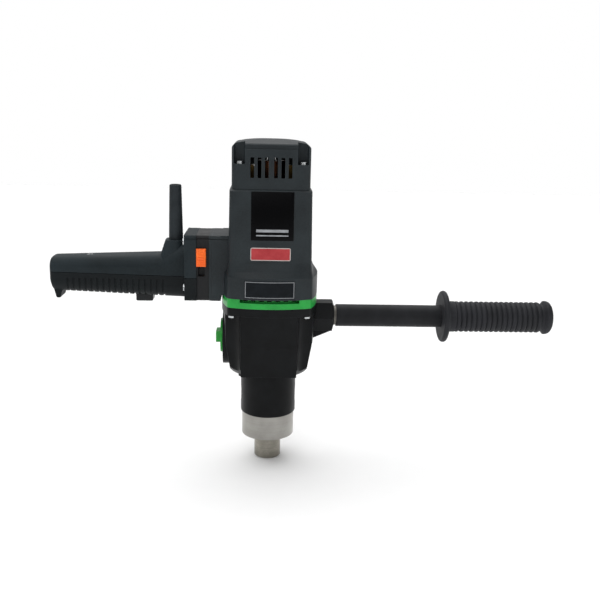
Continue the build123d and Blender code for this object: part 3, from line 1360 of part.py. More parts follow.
# Shallow groove round the outside of the handle along its parting line
with BuildPart() as handle_seam:
    with BuildSketch(parting_plane) as slab:
        Rectangle(3 * handle_length, 4 * bracket_half_width)
    extrude(slab.sketch, amount=seam_width / 2, both=True)
    add(grip_body(seam_depth), mode=Mode.SUBTRACT)
    block((handle_flange_x + seam_depth, -bracket_half_width + seam_depth, bracket_low_z),
          (3 * handle_length, bracket_half_width - seam_depth, bracket_high_z), mode=Mode.SUBTRACT)

# Rear handle before it is parted: grip, flange, cable riser and end hook, all hollowed together
with BuildPart() as handle_form:
    add(grip_body(0.0))
    block((handle_flange_x, -bracket_half_width, bracket_low_z),
          (switch_housing_left_x, bracket_half_width, bracket_high_z))
    fillet(edges().filter_by(Axis.X).filter_by_position(Axis.X, handle_flange_x, switch_housing_left_x),
           radius=bracket_corner_radius)
    add(riser_form())
    with BuildSketch(Plane.XZ) as hook:
        Polygon((hook_left_x, hook_left_z), (hook_tip_x + hook_side_gap, hook_tip_z),
                (hook_tip_x + hook_side_gap + hook_tip_length, hook_tip_z),
                (hook_root_x - hook_slope_length, handle_end_low_z - hook_slope_rise),
                (hook_root_x, handle_end_low_z + hook_slope_rise), align=None)
        fillet(vertices().group_by(Axis.Y)[0], radius=hook_tip_radius)
    extrude(hook.sketch, amount=hook_half_width, both=True)
    add(grip_body(handle_wall), mode=Mode.SUBTRACT)
    block((handle_flange_x - overcut, -switch_window_half_width, switch_window_low_z),
          (switch_housing_left_x, switch_window_half_width, switch_window_high_z), mode=Mode.SUBTRACT)
    disc(level(parting_z, sleeve_axis_x), cable_flange_diameter + 2 * cable_flange_side_gap,
         riser_top_z - riser_roof - parting_z, mode=Mode.SUBTRACT)
    disc(level(parting_z, sleeve_axis_x), sleeve_base_diameter, riser_top_z - parting_z, mode=Mode.SUBTRACT)
    for y, z in handle_screw_places:
        disc(facing_right(handle_flange_x, y, z), screw_diameter + 2 * fit_gap, handle_flange_length,
             mode=Mode.SUBTRACT)
        disc(facing_right(handle_flange_x, y, z), screw_head_diameter + 2 * screw_recess_gap,
             handle_screw_sink, mode=Mode.SUBTRACT)
    disc(level(handle_end_low_z + overcut, shell_screw_x), shell_post_diameter,
         shell_screw_z - handle_end_low_z)
    disc(level(shell_screw_z, shell_screw_x), screw_diameter + 2 * fit_gap, -shell_screw_length,
         mode=Mode.SUBTRACT)
    disc(level(shell_screw_z, shell_screw_x), screw_head_diameter + 2 * screw_recess_gap,
         3 * screw_head_height, mode=Mode.SUBTRACT)
    joint_groove(handle_flange_x - overcut, switch_housing_left_x + overcut, bracket_half_width)
    add(handle_seam.part, mode=Mode.SUBTRACT)

with BuildPart() as handle_upper_shell:
    add(handle_form.part)
    split(bisect_by=parting_plane, keep=Keep.TOP)
handle_upper_shell.part.label = "handle_upper_shell"
export_step(handle_upper_shell.part, "parts/handle_upper_shell.step")

# Grooves across the lower half of the grip
with BuildPart() as grip_grooves:
    for i in range(groove_count):
        groove_x = handle_end_x + groove_start + i * groove_pitch
        share = (groove_x - handle_end_x) / (grip_root_x - handle_end_x)
        half_width = handle_end_half_width + share * (grip_root_half_width - handle_end_half_width)
        low = handle_end_low_z + share * (grip_root_low_z - handle_end_low_z)
        high = handle_end_high_z + share * (grip_root_high_z - handle_end_high_z)
        with BuildSketch(facing_right(groove_x - groove_width / 2, 0, (low + high) / 2)) as groove:
            Rectangle(2 * half_width + groove_width, high - low + groove_width)
            RectangleRounded(2 * (half_width - groove_depth), high - low - 2 * groove_depth,
                             grip_corner_radius - groove_depth, mode=Mode.SUBTRACT)
            with Locations((0, parting_z - groove_top_drop - (low + high) / 2)):
                Rectangle(3 * half_width, high - low, align=(Align.CENTER, Align.MIN),
                          mode=Mode.SUBTRACT)
        extrude(groove.sketch, amount=groove_width)

# Lower shell: grooved, with the trigger's slot and two ribs that carry the switch
grip_fall = (grip_root_low_z - handle_end_low_z) / (grip_root_x - handle_end_x)
lip_low_x = trigger_x - trigger_length / 2 - trigger_lip
shell_floor_z = handle_end_low_z + grip_fall * (lip_low_x - handle_end_x) + handle_wall
trigger_low_z = handle_end_low_z + grip_fall * (trigger_x - handle_end_x) - trigger_reach
lip_z = shell_floor_z + moving_gap
switch_z = lip_z + trigger_lip_thickness + trigger_travel + moving_gap
switch_low_x = trigger_x - switch_length / 2
switch_high_x = trigger_x + switch_length / 2
with BuildPart() as handle_lower_shell:
    add(handle_form.part)
    split(bisect_by=parting_plane, keep=Keep.BOTTOM)
    add(grip_grooves.part, mode=Mode.SUBTRACT)
    for x in (switch_low_x, switch_high_x - handle_wall):
        block((x, -switch_width / 2, shell_floor_z - handle_wall / 2),
              (x + handle_wall, switch_width / 2, switch_z))
    block((trigger_x - trigger_length / 2 - moving_gap, -trigger_width / 2 - moving_gap, trigger_low_z),
          (trigger_x + trigger_length / 2 + moving_gap, trigger_width / 2 + moving_gap,
           lip_z + trigger_lip_thickness), mode=Mode.SUBTRACT)
handle_lower_shell.part.label = "handle_lower_shell"
export_step(handle_lower_shell.part, "parts/handle_lower_shell.step")

with BuildPart() as handle_shell_screws:
    pan_screw(level(shell_screw_z, shell_screw_x), shell_screw_length)
handle_shell_screws.part.label = "handle_shell_screws"
export_step(handle_shell_screws.part, "parts/handle_shell_screws.step")

with BuildPart() as handle_flange_screws:
    for y, z in handle_screw_places:
        pan_screw(facing_left(handle_flange_x + handle_screw_sink, y, z),
                  bracket_face_x - handle_flange_x - handle_screw_sink + screw_thread_length - screw_tip_gap)
handle_flange_screws.part.label = "handle_flange_screws"
export_step(handle_flange_screws.part, "parts/handle_flange_screws.step")

# Trigger: plunger through the lower shell with a lip that stops on the shell's floor
with BuildPart() as trigger:
    block((trigger_x - trigger_length / 2, -trigger_width / 2, trigger_low_z),
          (trigger_x + trigger_length / 2, trigger_width / 2, lip_z))
    fillet(faces().sort_by(Axis.Z)[0].edges(), radius=trigger_radius)
    block((lip_low_x, -trigger_width / 2, lip_z),
          (trigger_x + trigger_length / 2 + trigger_lip, trigger_width / 2, lip_z + trigger_lip_thickness))
trigger.part.label = "trigger"
export_step(trigger.part, "parts/trigger.step")

with BuildPart() as trigger_switch:
    block((switch_low_x, -switch_width / 2, switch_z),
          (switch_high_x, switch_width / 2, switch_z + switch_height))
    chamfer(edges().filter_by(Axis.X), length=edge_break)
trigger_switch.part.label = "trigger_switch"
export_step(trigger_switch.part, "parts/trigger_switch.step")

# Cable sleeve: tapered rubber strain relief held under the riser's roof, and the clamp below it
sleeve_flange_top = riser_top_z - riser_roof
sleeve_foot_z = sleeve_flange_top - cable_flange_thickness
with BuildPart() as strain_relief:
    disc(level(sleeve_foot_z, sleeve_axis_x), cable_flange_diameter, cable_flange_thickness)
    disc(level(sleeve_foot_z, sleeve_axis_x), sleeve_base_diameter - 2 * fit_gap,
         riser_top_z - sleeve_foot_z)
    with Locations((sleeve_axis_x, 0, riser_top_z)):
        Cone(sleeve_base_diameter / 2, sleeve_tip_diameter / 2, sleeve_visible_length,
             align=(Align.CENTER, Align.CENTER, Align.MIN))
    fillet(edges().group_by(Axis.Z)[-1], radius=sleeve_tip_radius)
    disc(level(sleeve_foot_z, sleeve_axis_x), cable_bore_diameter,
         riser_top_z + sleeve_visible_length - sleeve_foot_z, mode=Mode.SUBTRACT)
strain_relief.part.label = "strain_relief"
export_step(strain_relief.part, "parts/strain_relief.step")

with BuildPart() as cable_clamp:
    ring(level(sleeve_foot_z, sleeve_axis_x), cable_flange_diameter, cable_bore_diameter,
         -cable_clamp_thickness)
cable_clamp.part.label = "cable_clamp"
export_step(cable_clamp.part, "parts/cable_clamp.step")

# Side handle: stud screwed into the case boss, washer, tube and ribbed rubber grip
stud_plug_diameter = tube_diameter - 2 * tube_wall
with BuildPart() as side_handle_stud:
    disc(facing_right(boss_face_x - stud_hole_depth, 0, side_axis_z), stud_diameter - 2 * fit_gap,
         stud_hole_depth + washer_thickness)
    disc(facing_right(tube_x, 0, side_axis_z), stud_plug_diameter - 2 * fit_gap, stud_plug_length)
side_handle_stud.part.label = "side_handle_stud"
export_step(side_handle_stud.part, "parts/side_handle_stud.step")

with BuildPart() as side_handle_washer:
    ring(facing_right(boss_face_x, 0, side_axis_z), washer_diameter, stud_diameter, washer_thickness)
side_handle_washer.part.label = "side_handle_washer"
export_step(side_handle_washer.part, "parts/side_handle_washer.step")

with BuildPart() as side_handle_tube:
    ring(facing_right(tube_x, 0, side_axis_z), tube_diameter, stud_plug_diameter, tube_end_x - tube_x)
side_handle_tube.part.label = "side_handle_tube"
export_step(side_handle_tube.part, "parts/side_handle_tube.step")

with BuildPart() as side_handle_grip:
    valley = grip_radius - grip_rib_depth
    bore = tube_diameter / 2 + fit_gap
    rim_left_x = grip_start_x + grip_flange_rim
    rim_low = grip_flange_radius - grip_flange_rim
    blend_x = grip_start_x + grip_flange_thickness
    rim_right_x = blend_x - grip_flange_rim
    blend_end_x = blend_x + grip_flange_blend
    blend_high = grip_radius + grip_flange_blend
    rib_end_x = grip_rib_start_x + grip_rib_count * grip_rib_pitch
    bead_x = grip_end_x - grip_bead_length
    bead_round_x = grip_end_x - grip_bead_round
    bead_low = grip_bead_radius - grip_bead_round
    with BuildSketch(Plane(origin=(0, 0, side_axis_z), x_dir=(1, 0, 0), z_dir=(0, -1, 0))):
        with BuildLine() as outline:
            Line((grip_start_x, bore), (grip_start_x, rim_low))
            quarter_arc((grip_start_x, rim_low), (rim_left_x, grip_flange_radius), (rim_left_x, rim_low))
            Line((rim_left_x, grip_flange_radius), (rim_right_x, grip_flange_radius))
            quarter_arc((rim_right_x, grip_flange_radius), (blend_x, rim_low), (rim_right_x, rim_low))
            Line((blend_x, rim_low), (blend_x, blend_high))
            quarter_arc((blend_x, blend_high), (blend_end_x, grip_radius), (blend_end_x, blend_high))
            Polyline((blend_end_x, grip_radius), (grip_rib_start_x, grip_radius), (grip_rib_start_x, valley))
            for i in range(grip_rib_count):
                rib_x = grip_rib_start_x + i * grip_rib_pitch
                ThreePointArc((rib_x, valley), (rib_x + grip_rib_pitch / 2, grip_radius),
                              (rib_x + grip_rib_pitch, valley))
            Polyline((rib_end_x, valley), (bead_x, valley), (bead_x + grip_bead_slope, grip_bead_radius),
                     (bead_round_x, grip_bead_radius))
            quarter_arc((bead_round_x, grip_bead_radius), (grip_end_x, bead_low), (bead_round_x, bead_low))
            Polyline((grip_end_x, bead_low), (grip_end_x, 0), (tube_end_x, 0), (tube_end_x, bore),
                     (grip_start_x, bore))
        make_face()
    revolve(axis=Axis((0, 0, side_axis_z), (1, 0, 0)))
side_handle_grip.part.label = "side_handle_grip"
export_step(side_handle_grip.part, "parts/side_handle_grip.step")
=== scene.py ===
import math

import bpy
from mathutils import Matrix, Vector


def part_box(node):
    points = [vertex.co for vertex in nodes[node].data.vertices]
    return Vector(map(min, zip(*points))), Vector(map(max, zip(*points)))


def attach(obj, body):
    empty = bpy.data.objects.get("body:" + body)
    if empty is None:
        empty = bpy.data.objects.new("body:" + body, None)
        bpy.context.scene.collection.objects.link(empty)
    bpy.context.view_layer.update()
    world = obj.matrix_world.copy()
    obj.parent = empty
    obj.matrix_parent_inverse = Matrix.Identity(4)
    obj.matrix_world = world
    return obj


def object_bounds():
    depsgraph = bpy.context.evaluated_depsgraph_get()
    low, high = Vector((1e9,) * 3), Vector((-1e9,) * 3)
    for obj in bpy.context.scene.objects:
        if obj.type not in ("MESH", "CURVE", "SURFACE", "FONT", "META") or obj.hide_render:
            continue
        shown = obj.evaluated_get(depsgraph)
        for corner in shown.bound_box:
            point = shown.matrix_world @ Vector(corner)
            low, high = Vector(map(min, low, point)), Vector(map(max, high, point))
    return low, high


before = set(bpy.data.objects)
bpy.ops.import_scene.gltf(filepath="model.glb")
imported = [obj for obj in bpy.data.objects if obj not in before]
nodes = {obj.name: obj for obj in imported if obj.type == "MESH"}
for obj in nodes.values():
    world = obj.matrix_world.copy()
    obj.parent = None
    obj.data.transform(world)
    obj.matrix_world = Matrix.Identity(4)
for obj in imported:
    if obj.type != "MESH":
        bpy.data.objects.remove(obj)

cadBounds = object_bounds()
bpy.ops.object.select_all(action="DESELECT")
print("frame loaded,", len(nodes), "nodes")


# Camera at the photograph's angle
viewpoint = {
    "azimuth": -2.6,                    # degrees, a little to the rear handle's side
    "elevation": 13.5,                  # degrees above the table
    "roll": 1.35,                       # degrees, picture turned clockwise
    "distance": 0.8661,                 # m
    "target": (0.03319, 0.0, 0.15087),  # m
    "lens": 48.0,                       # mm on a 36 mm sensor
}


def placeCamera(view):
    azimuth = math.radians(view["azimuth"])
    elevation = math.radians(view["elevation"])
    roll = math.radians(view["roll"])
    back = Vector((math.sin(azimuth) * math.cos(elevation),
                   -math.cos(azimuth) * math.cos(elevation), math.sin(elevation)))
    right = Vector((math.cos(azimuth), math.sin(azimuth), 0))
    up = back.cross(right)
    turnedRight = right * math.cos(roll) + up * math.sin(roll)
    turnedUp = up * math.cos(roll) - right * math.sin(roll)
    bpy.ops.object.camera_add()
    camera = bpy.context.object
    camera.name = "photoCamera"
    turn = Matrix((turnedRight, turnedUp, back)).transposed().to_4x4()
    camera.matrix_world = Matrix.Translation(Vector(view["target"]) + back * view["distance"]) @ turn
    camera.data.lens = view["lens"]
    camera.data.sensor_width = 36.0
    camera.data.clip_start = 0.01
    bpy.context.scene.camera = camera


placeCamera(viewpoint)
print("camera placed")


# Material tools
mm = 0.001


def colour(hexValue):
    # sRGB hex to linear, with alpha
    parts = [int(hexValue[i:i + 2], 16) / 255 for i in (1, 3, 5)]
    return [c / 12.92 if c <= 0.04045 else ((c + 0.055) / 1.055) ** 2.4 for c in parts] + [1.0]


def addNode(tree, kind, values=None, links=None, **settings):
    node = tree.nodes.new(kind)
    for name, value in settings.items():
        setattr(node, name, value)
    for socket, value in (values or {}).items():
        node.inputs[socket].default_value = value
    for socket, source in (links or {}).items():
        tree.links.new(source, node.inputs[socket])
    return node


def startMaterial(name):
    # An empty principled material, its node tree, its shader and its object coordinates
    material = bpy.data.materials.new(name)
    material.use_nodes = True
    tree = material.node_tree
    tree.nodes.clear()
    shader = addNode(tree, "ShaderNodeBsdfPrincipled")
    addNode(tree, "ShaderNodeOutputMaterial", links={"Surface": shader.outputs[0]})
    place = addNode(tree, "ShaderNodeTexCoord").outputs["Object"]
    return material, tree, shader, place


def perMm(size):
    # Texture scale that gives features of this many millimetres, on coordinates in metres
    return 1000.0 / size


def finish(shader, constants):
    for socket, value in constants.items():
        shader.inputs[socket].default_value = value


edges = {
    "turn": (0.985, 0.8),               # rounded against flat normal, where the wear and painted highlight start and are full
    "shelterReach": 0.003,              # m, how far the shelter of an inner corner reaches
    "shelter": (0.75, 0.95),            # openness where the wear and painted highlight start and are full
    "samples": 6,
}
reliefMm = {"grain": 0.2, "peel": 0.2, "rings": 0.1}     # height of each bump


def rampBetween(tree, source, low, high):
    # Colour ramp from low to high, each a position and a hex colour
    ramp = addNode(tree, "ShaderNodeValToRGB", links={0: source})
    for element, (position, hexValue) in zip(ramp.color_ramp.elements, (low, high)):
        element.position = position
        element.color = colour(hexValue)
    return ramp.outputs[0]


def softEdgesWithPaintedHighlight(tree, look, base):
    # Rounds the shading of sharp edges, and paints outer edges a little paler than the base colour: partly
    # wear, partly painted highlight
    rounded = addNode(tree, "ShaderNodeBevel", {"Radius": look["edgeMm"] * mm}, samples=edges["samples"])
    surface = addNode(tree, "ShaderNodeNewGeometry")
    turn = addNode(tree, "ShaderNodeVectorMath",
                   links={0: rounded.outputs[0], 1: surface.outputs["Normal"]}, operation="DOT_PRODUCT")
    edge = addNode(tree, "ShaderNodeMapRange",
                   {1: edges["turn"][0], 2: edges["turn"][1], 3: 0.0, 4: look["edgeWearAndHighlight"]},
                   {0: turn.outputs["Value"]})
    sheltered = addNode(tree, "ShaderNodeAmbientOcclusion", {"Distance": edges["shelterReach"]},
                        samples=edges["samples"])
    outer = addNode(tree, "ShaderNodeMapRange", {1: edges["shelter"][0], 2: edges["shelter"][1]},
                    {0: sheltered.outputs["AO"]})
    wearAndHighlight = addNode(tree, "ShaderNodeMath", links={0: edge.outputs[0], 1: outer.outputs[0]},
                   operation="MULTIPLY")
    # paler colour on outer edges: partly wear, partly painted highlight
    mixed = addNode(tree, "ShaderNodeMix", {7: colour(look["edge"])},
                    {0: wearAndHighlight.outputs[0], 6: base}, data_type="RGBA")
    return rounded.outputs[0], mixed.outputs[2]


# Moulded and rubber finishes: a cloudy base, a fine spark-eroded or matt grain, uneven gloss
def mouldedFinish(name, look):
    material, tree, shader, place = startMaterial(name)
    clouds = addNode(tree, "ShaderNodeTexNoise", {"Scale": perMm(look["cloudMm"]), "Detail": 3.0},
                     {"Vector": place})
    grain = addNode(tree, "ShaderNodeTexNoise", {"Scale": perMm(look["grainMm"]), "Detail": 2.0},
                    {"Vector": place})
    both = addNode(tree, "ShaderNodeMath", {1: 0.35}, {0: grain.outputs[0], 2: clouds.outputs[0]},
                   operation="MULTIPLY_ADD")
    shade = rampBetween(tree, both.outputs[0], (0.45, look["dark"]), (0.9, look["light"]))
    gloss = addNode(tree, "ShaderNodeMapRange",
                    {1: 0.3, 2: 0.7, 3: look["roughness"] - 0.07, 4: look["roughness"] + 0.07},
                    {0: clouds.outputs[0]})
    # outer edges painted paler: partly wear, partly painted highlight
    normal, wearAndHighlight = softEdgesWithPaintedHighlight(tree, look, shade)
    bump = addNode(tree, "ShaderNodeBump",
                   {"Strength": look["grainStrength"], "Distance": reliefMm["grain"] * mm},
                   {"Height": grain.outputs[0], "Normal": normal})
    tree.links.new(wearAndHighlight, shader.inputs["Base Color"])
    tree.links.new(gloss.outputs[0], shader.inputs["Roughness"])
    tree.links.new(bump.outputs[0], shader.inputs["Normal"])
    finish(shader, look["constants"])
    return material


# Painted and coated metal: a level colour, orange peel, faint rubbed patches that shine more
def paintedFinish(name, look):
    material, tree, shader, place = startMaterial(name)
    peel = addNode(tree, "ShaderNodeTexNoise", {"Scale": perMm(look["peelMm"]), "Detail": 1.0},
                   {"Vector": place})
    rubbed = addNode(tree, "ShaderNodeTexNoise",
                     {"Scale": perMm(look["patchMm"]), "Detail": 5.0, "Roughness": 0.65}, {"Vector": place})
    shade = rampBetween(tree, rubbed.outputs[0], (0.35, look["dark"]), (0.75, look["light"]))
    gloss = addNode(tree, "ShaderNodeMapRange",
                    {1: 0.3, 2: 0.75, 3: look["roughness"] + 0.06, 4: look["roughness"] - 0.06},
                    {0: rubbed.outputs[0]})
    # outer edges painted paler: partly wear, partly painted highlight
    normal, wearAndHighlight = softEdgesWithPaintedHighlight(tree, look, shade)
    bump = addNode(tree, "ShaderNodeBump",
                   {"Strength": look["peelStrength"], "Distance": reliefMm["peel"] * mm},
                   {"Height": peel.outputs[0], "Normal": normal})
    tree.links.new(wearAndHighlight, shader.inputs["Base Color"])
    tree.links.new(gloss.outputs[0], shader.inputs["Roughness"])
    tree.links.new(bump.outputs[0], shader.inputs["Normal"])
    finish(shader, look["constants"])
    return material


# Turned metal: fine rings round the spindle axis, on round walls and on end faces alike
def turnedFinish(name, look):
    material, tree, shader, place = startMaterial(name)
    parts = addNode(tree, "ShaderNodeSeparateXYZ", links={0: place})
    flat = addNode(tree, "ShaderNodeCombineXYZ", links={0: parts.outputs[0], 1: parts.outputs[1]})
    radius = addNode(tree, "ShaderNodeVectorMath", links={0: flat.outputs[0]}, operation="LENGTH")
    rings = addNode(tree, "ShaderNodeCombineXYZ", links={0: radius.outputs["Value"], 2: parts.outputs[2]})
    lines = addNode(tree, "ShaderNodeTexNoise",
                    {"Scale": perMm(look["ringMm"]), "Detail": 2.0, "Roughness": 0.7},
                    {"Vector": rings.outputs[0]})
    stains = addNode(tree, "ShaderNodeTexNoise", {"Scale": perMm(look["stainMm"]), "Detail": 4.0},
                     {"Vector": place})
    both = addNode(tree, "ShaderNodeMath", {1: 0.5}, {0: lines.outputs[0], 2: stains.outputs[0]},
                   operation="MULTIPLY_ADD")
    shade = rampBetween(tree, both.outputs[0], (0.5, look["dark"]), (0.95, look["light"]))
    gloss = addNode(tree, "ShaderNodeMapRange",
                    {1: 0.3, 2: 0.7, 3: look["roughness"] - 0.05, 4: look["roughness"] + 0.08},
                    {0: lines.outputs[0]})
    bump = addNode(tree, "ShaderNodeBump",
                   {"Strength": look["ringStrength"], "Distance": reliefMm["rings"] * mm},
                   {"Height": lines.outputs[0]})
    tree.links.new(shade, shader.inputs["Base Color"])
    tree.links.new(gloss.outputs[0], shader.inputs["Roughness"])
    tree.links.new(bump.outputs[0], shader.inputs["Normal"])
    if "Anisotropic" in look["constants"]:
        around = addNode(tree, "ShaderNodeTangent", direction_type="RADIAL", axis="Z")
        tree.links.new(around.outputs[0], shader.inputs["Tangent"])
    finish(shader, look["constants"])
    return material


plasticGloss = {"IOR": 1.53, "Metallic": 0.0, "Specular IOR Level": 0.2}
mattGloss = {"IOR": 1.53, "Metallic": 0.0, "Specular IOR Level": 0.12}
brightGloss = {"IOR": 1.5, "Metallic": 0.0, "Specular IOR Level": 0.3}
paintGloss = {"IOR": 1.5, "Metallic": 0.0, "Specular IOR Level": 0.11}
filmGloss = {"IOR": 1.5, "Metallic": 0.0, "Specular IOR Level": 0.06}
rubberGloss = {"IOR": 1.52, "Metallic": 0.0, "Specular IOR Level": 0.2}
metalGloss = {"Metallic": 1.0}
brushedGloss = {"Metallic": 1.0, "Anisotropic": 0.7, "Anisotropic Rotation": 0.25}

# In every look below, the edge colour and its amount pale the outer edges: partly wear, partly painted
# highlight
# Glass-filled nylon from a spark-eroded mould: dark grey, dull, with a fine grain.
# The grain is 0.4 mm in life and drawn at 1.6 mm, so that it shows.
motorNylon = mouldedFinish("motorNylon", {
    "dark": "#1C2124", "light": "#293033", "cloudMm": 40, "grainMm": 1.6, "grainStrength": 0.2,
    "roughness": 0.48, "edgeMm": 0.7, "edgeWearAndHighlight": 0.6, "edge": "#525A5E", "constants": plasticGloss})
# The handle's nylon has the same mould finish, a touch bluer and darker
handleNylon = mouldedFinish("handleNylon", {
    "dark": "#1B2225", "light": "#283034", "cloudMm": 35, "grainMm": 1.6, "grainStrength": 0.22,
    "roughness": 0.56, "edgeMm": 0.6, "edgeWearAndHighlight": 0.5, "edge": "#4A5357", "constants": mattGloss})
# The lower shell: the handle's nylon drawn blacker as painted shade for its downward-facing side, smooth
# where the hand rubs it
lowerNylonPaintedShade = mouldedFinish("lowerNylonPaintedShade", {
    "dark": "#0F1315", "light": "#171C1E", "cloudMm": 35, "grainMm": 1.6, "grainStrength": 0.16,
    "roughness": 0.52, "edgeMm": 0.6, "edgeWearAndHighlight": 0.4, "edge": "#3A4246", "constants": mattGloss})
# The switch track is plain black nylon, smoother than the handle
trackNylon = mouldedFinish("trackNylon", {
    "dark": "#141517", "light": "#1D1E20", "cloudMm": 20, "grainMm": 1.6, "grainStrength": 0.12,
    "roughness": 0.46, "edgeMm": 0.5, "edgeWearAndHighlight": 0.4, "edge": "#3A3D40", "constants": plasticGloss})
# Acetal trigger, black and slicker from handling
triggerAcetal = mouldedFinish("triggerAcetal", {
    "dark": "#131517", "light": "#1D2023", "cloudMm": 12, "grainMm": 1.2, "grainStrength": 0.1,
    "roughness": 0.4, "edgeMm": 0.5, "edgeWearAndHighlight": 0.4, "edge": "#3A3E41", "constants": plasticGloss})
# Polycarbonate selector, bright green, semi-gloss
selectorGreen = mouldedFinish("selectorGreen", {
    "dark": "#1C8A2C", "light": "#2A9E3A", "cloudMm": 14, "grainMm": 1.2, "grainStrength": 0.06,
    "roughness": 0.36, "edgeMm": 0.4, "edgeWearAndHighlight": 0.3, "edge": "#59B862", "constants": brightGloss})
# Acetal slider, orange, semi-gloss
sliderOrange = mouldedFinish("sliderOrange", {
    "dark": "#F4601C", "light": "#FF7422", "cloudMm": 9, "grainMm": 1.0, "grainStrength": 0.06,
    "roughness": 0.38, "edgeMm": 0.3, "edgeWearAndHighlight": 0.3, "edge": "#FF9658", "constants": brightGloss})
# Soft PVC cable sleeve: matt, slightly bloomed
sleeveRubber = mouldedFinish("sleeveRubber", {
    "dark": "#1E2326", "light": "#2C3236", "cloudMm": 16, "grainMm": 1.1, "grainStrength": 0.16,
    "roughness": 0.6, "edgeMm": 0.5, "edgeWearAndHighlight": 0.5, "edge": "#4C5357", "constants": rubberGloss})
# Moulded nitrile grip: matt black, its rib edges paler, partly wear and partly painted highlight
gripRubber = mouldedFinish("gripRubber", {
    "dark": "#1D1E21", "light": "#2B2C30", "cloudMm": 20, "grainMm": 1.2, "grainStrength": 0.22,
    "roughness": 0.62, "edgeMm": 0.5, "edgeWearAndHighlight": 0.6, "edge": "#4A4B50", "constants": rubberGloss})
sealRubber = mouldedFinish("sealRubber", {
    "dark": "#121314", "light": "#1C1D1F", "cloudMm": 8, "grainMm": 0.8, "grainStrength": 0.15,
    "roughness": 0.6, "edgeMm": 0.3, "edgeWearAndHighlight": 0.3, "edge": "#34363A", "constants": rubberGloss})
# Inner mouldings: plain black nylon, smoother than the housing
innerNylon = mouldedFinish("innerNylon", {
    "dark": "#0E0F10", "light": "#191A1C", "cloudMm": 10, "grainMm": 1.0, "grainStrength": 0.1,
    "roughness": 0.45, "edgeMm": 0.4, "edgeWearAndHighlight": 0.3, "edge": "#303336", "constants": plasticGloss})
# Pressed carbon: black, granular, dull
brushCarbon = mouldedFinish("brushCarbon", {
    "dark": "#141414", "light": "#2A2A2B", "cloudMm": 2, "grainMm": 0.5, "grainStrength": 0.4,
    "roughness": 0.75, "edgeMm": 0.3, "edgeWearAndHighlight": 0.4, "edge": "#3C3C3D", "constants": rubberGloss})

# Satin black wet paint on die-cast aluminium, with orange peel of about 2.5 mm
caseBlackPaint = paintedFinish("caseBlackPaint", {
    "dark": "#0C0D0E", "light": "#141618", "peelMm": 2.5, "peelStrength": 0.1, "patchMm": 30,
    "roughness": 0.38, "edgeMm": 0.8, "edgeWearAndHighlight": 0.45, "edge": "#3E4144", "constants": paintGloss})
# Green gloss paint on die-cast aluminium
coverGreenPaint = paintedFinish("coverGreenPaint", {
    "dark": "#188F37", "light": "#22AA43", "peelMm": 2.5, "peelStrength": 0.06, "patchMm": 25,
    "roughness": 0.34, "edgeMm": 0.6, "edgeWearAndHighlight": 0.35, "edge": "#5CC97A", "constants": brightGloss})
# Black powder coat on a steel tube, with a finer, rougher peel
tubePowderCoat = paintedFinish("tubePowderCoat", {
    "dark": "#1A1B1D", "light": "#252629", "peelMm": 1.6, "peelStrength": 0.16, "patchMm": 40,
    "roughness": 0.5, "edgeMm": 0.4, "edgeWearAndHighlight": 0.3, "edge": "#3A3B3E", "constants": mattGloss})

# Ground collar: pale steel, rings of 0.3 mm in life, drawn at 0.9 mm
collarSteel = turnedFinish("collarSteel", {
    "dark": "#93918C", "light": "#A8A6A1", "ringMm": 0.9, "ringStrength": 0.14, "stainMm": 18,
    "roughness": 0.34, "constants": brushedGloss})
# Spindle nose: hardened and ground, darker, warmer and shinier
spindleSteel = turnedFinish("spindleSteel", {
    "dark": "#7C7970", "light": "#9C988E", "ringMm": 0.8, "ringStrength": 0.08, "stainMm": 12,
    "roughness": 0.24, "constants": brushedGloss})
# Bright zinc on screws
zincPlate = turnedFinish("zincPlate", {
    "dark": "#9FA2A4", "light": "#C9CCCD", "ringMm": 1.2, "ringStrength": 0.05, "stainMm": 4,
    "roughness": 0.28, "constants": metalGloss})
# Hardened gear steel, oiled
gearSteel = turnedFinish("gearSteel", {
    "dark": "#6E6F71", "light": "#97989A", "ringMm": 0.8, "ringStrength": 0.12, "stainMm": 7,
    "roughness": 0.3, "constants": metalGloss})
# Polished bearing rings
bearingSteel = turnedFinish("bearingSteel", {
    "dark": "#A9ABAD", "light": "#D3D5D6", "ringMm": 1.1, "ringStrength": 0.06, "stainMm": 10,
    "roughness": 0.2, "constants": metalGloss})
# Stacked laminations, 0.5 mm each and drawn at 1.5 mm
laminationSteel = turnedFinish("laminationSteel", {
    "dark": "#3B3C3F", "light": "#77787B", "ringMm": 1.5, "ringStrength": 0.6, "stainMm": 8,
    "roughness": 0.5, "constants": metalGloss})
# Enamelled copper wire, in layers drawn at 1.2 mm
enamelledCopper = turnedFinish("enamelledCopper", {
    "dark": "#6A2C12", "light": "#A85A2C", "ringMm": 1.2, "ringStrength": 0.7, "stainMm": 6,
    "roughness": 0.38, "constants": metalGloss})
# Bare commutator copper, browned by the brushes
commutatorCopper = turnedFinish("commutatorCopper", {
    "dark": "#4A2A1A", "light": "#7A4C30", "ringMm": 0.9, "ringStrength": 0.2, "stainMm": 5,
    "roughness": 0.3, "constants": metalGloss})
# Pressed brass brush holders and the bronze bush, drawn darker than bare brass as painted shade for their
# place inside the housing
holderBrassPaintedShade = turnedFinish("holderBrassPaintedShade", {
    "dark": "#5A4724", "light": "#80693A", "ringMm": 1.2, "ringStrength": 0.06, "stainMm": 6,
    "roughness": 0.32, "constants": metalGloss})
springSteel = turnedFinish("springSteel", {
    "dark": "#77797C", "light": "#A5A7AA", "ringMm": 1.0, "ringStrength": 0.3, "stainMm": 5,
    "roughness": 0.3, "constants": metalGloss})
# Dull aluminium washer
washerAluminium = turnedFinish("washerAluminium", {
    "dark": "#5C5A56", "light": "#75726D", "ringMm": 0.8, "ringStrength": 0.2, "stainMm": 6,
    "roughness": 0.5, "constants": metalGloss})
print("materials made")

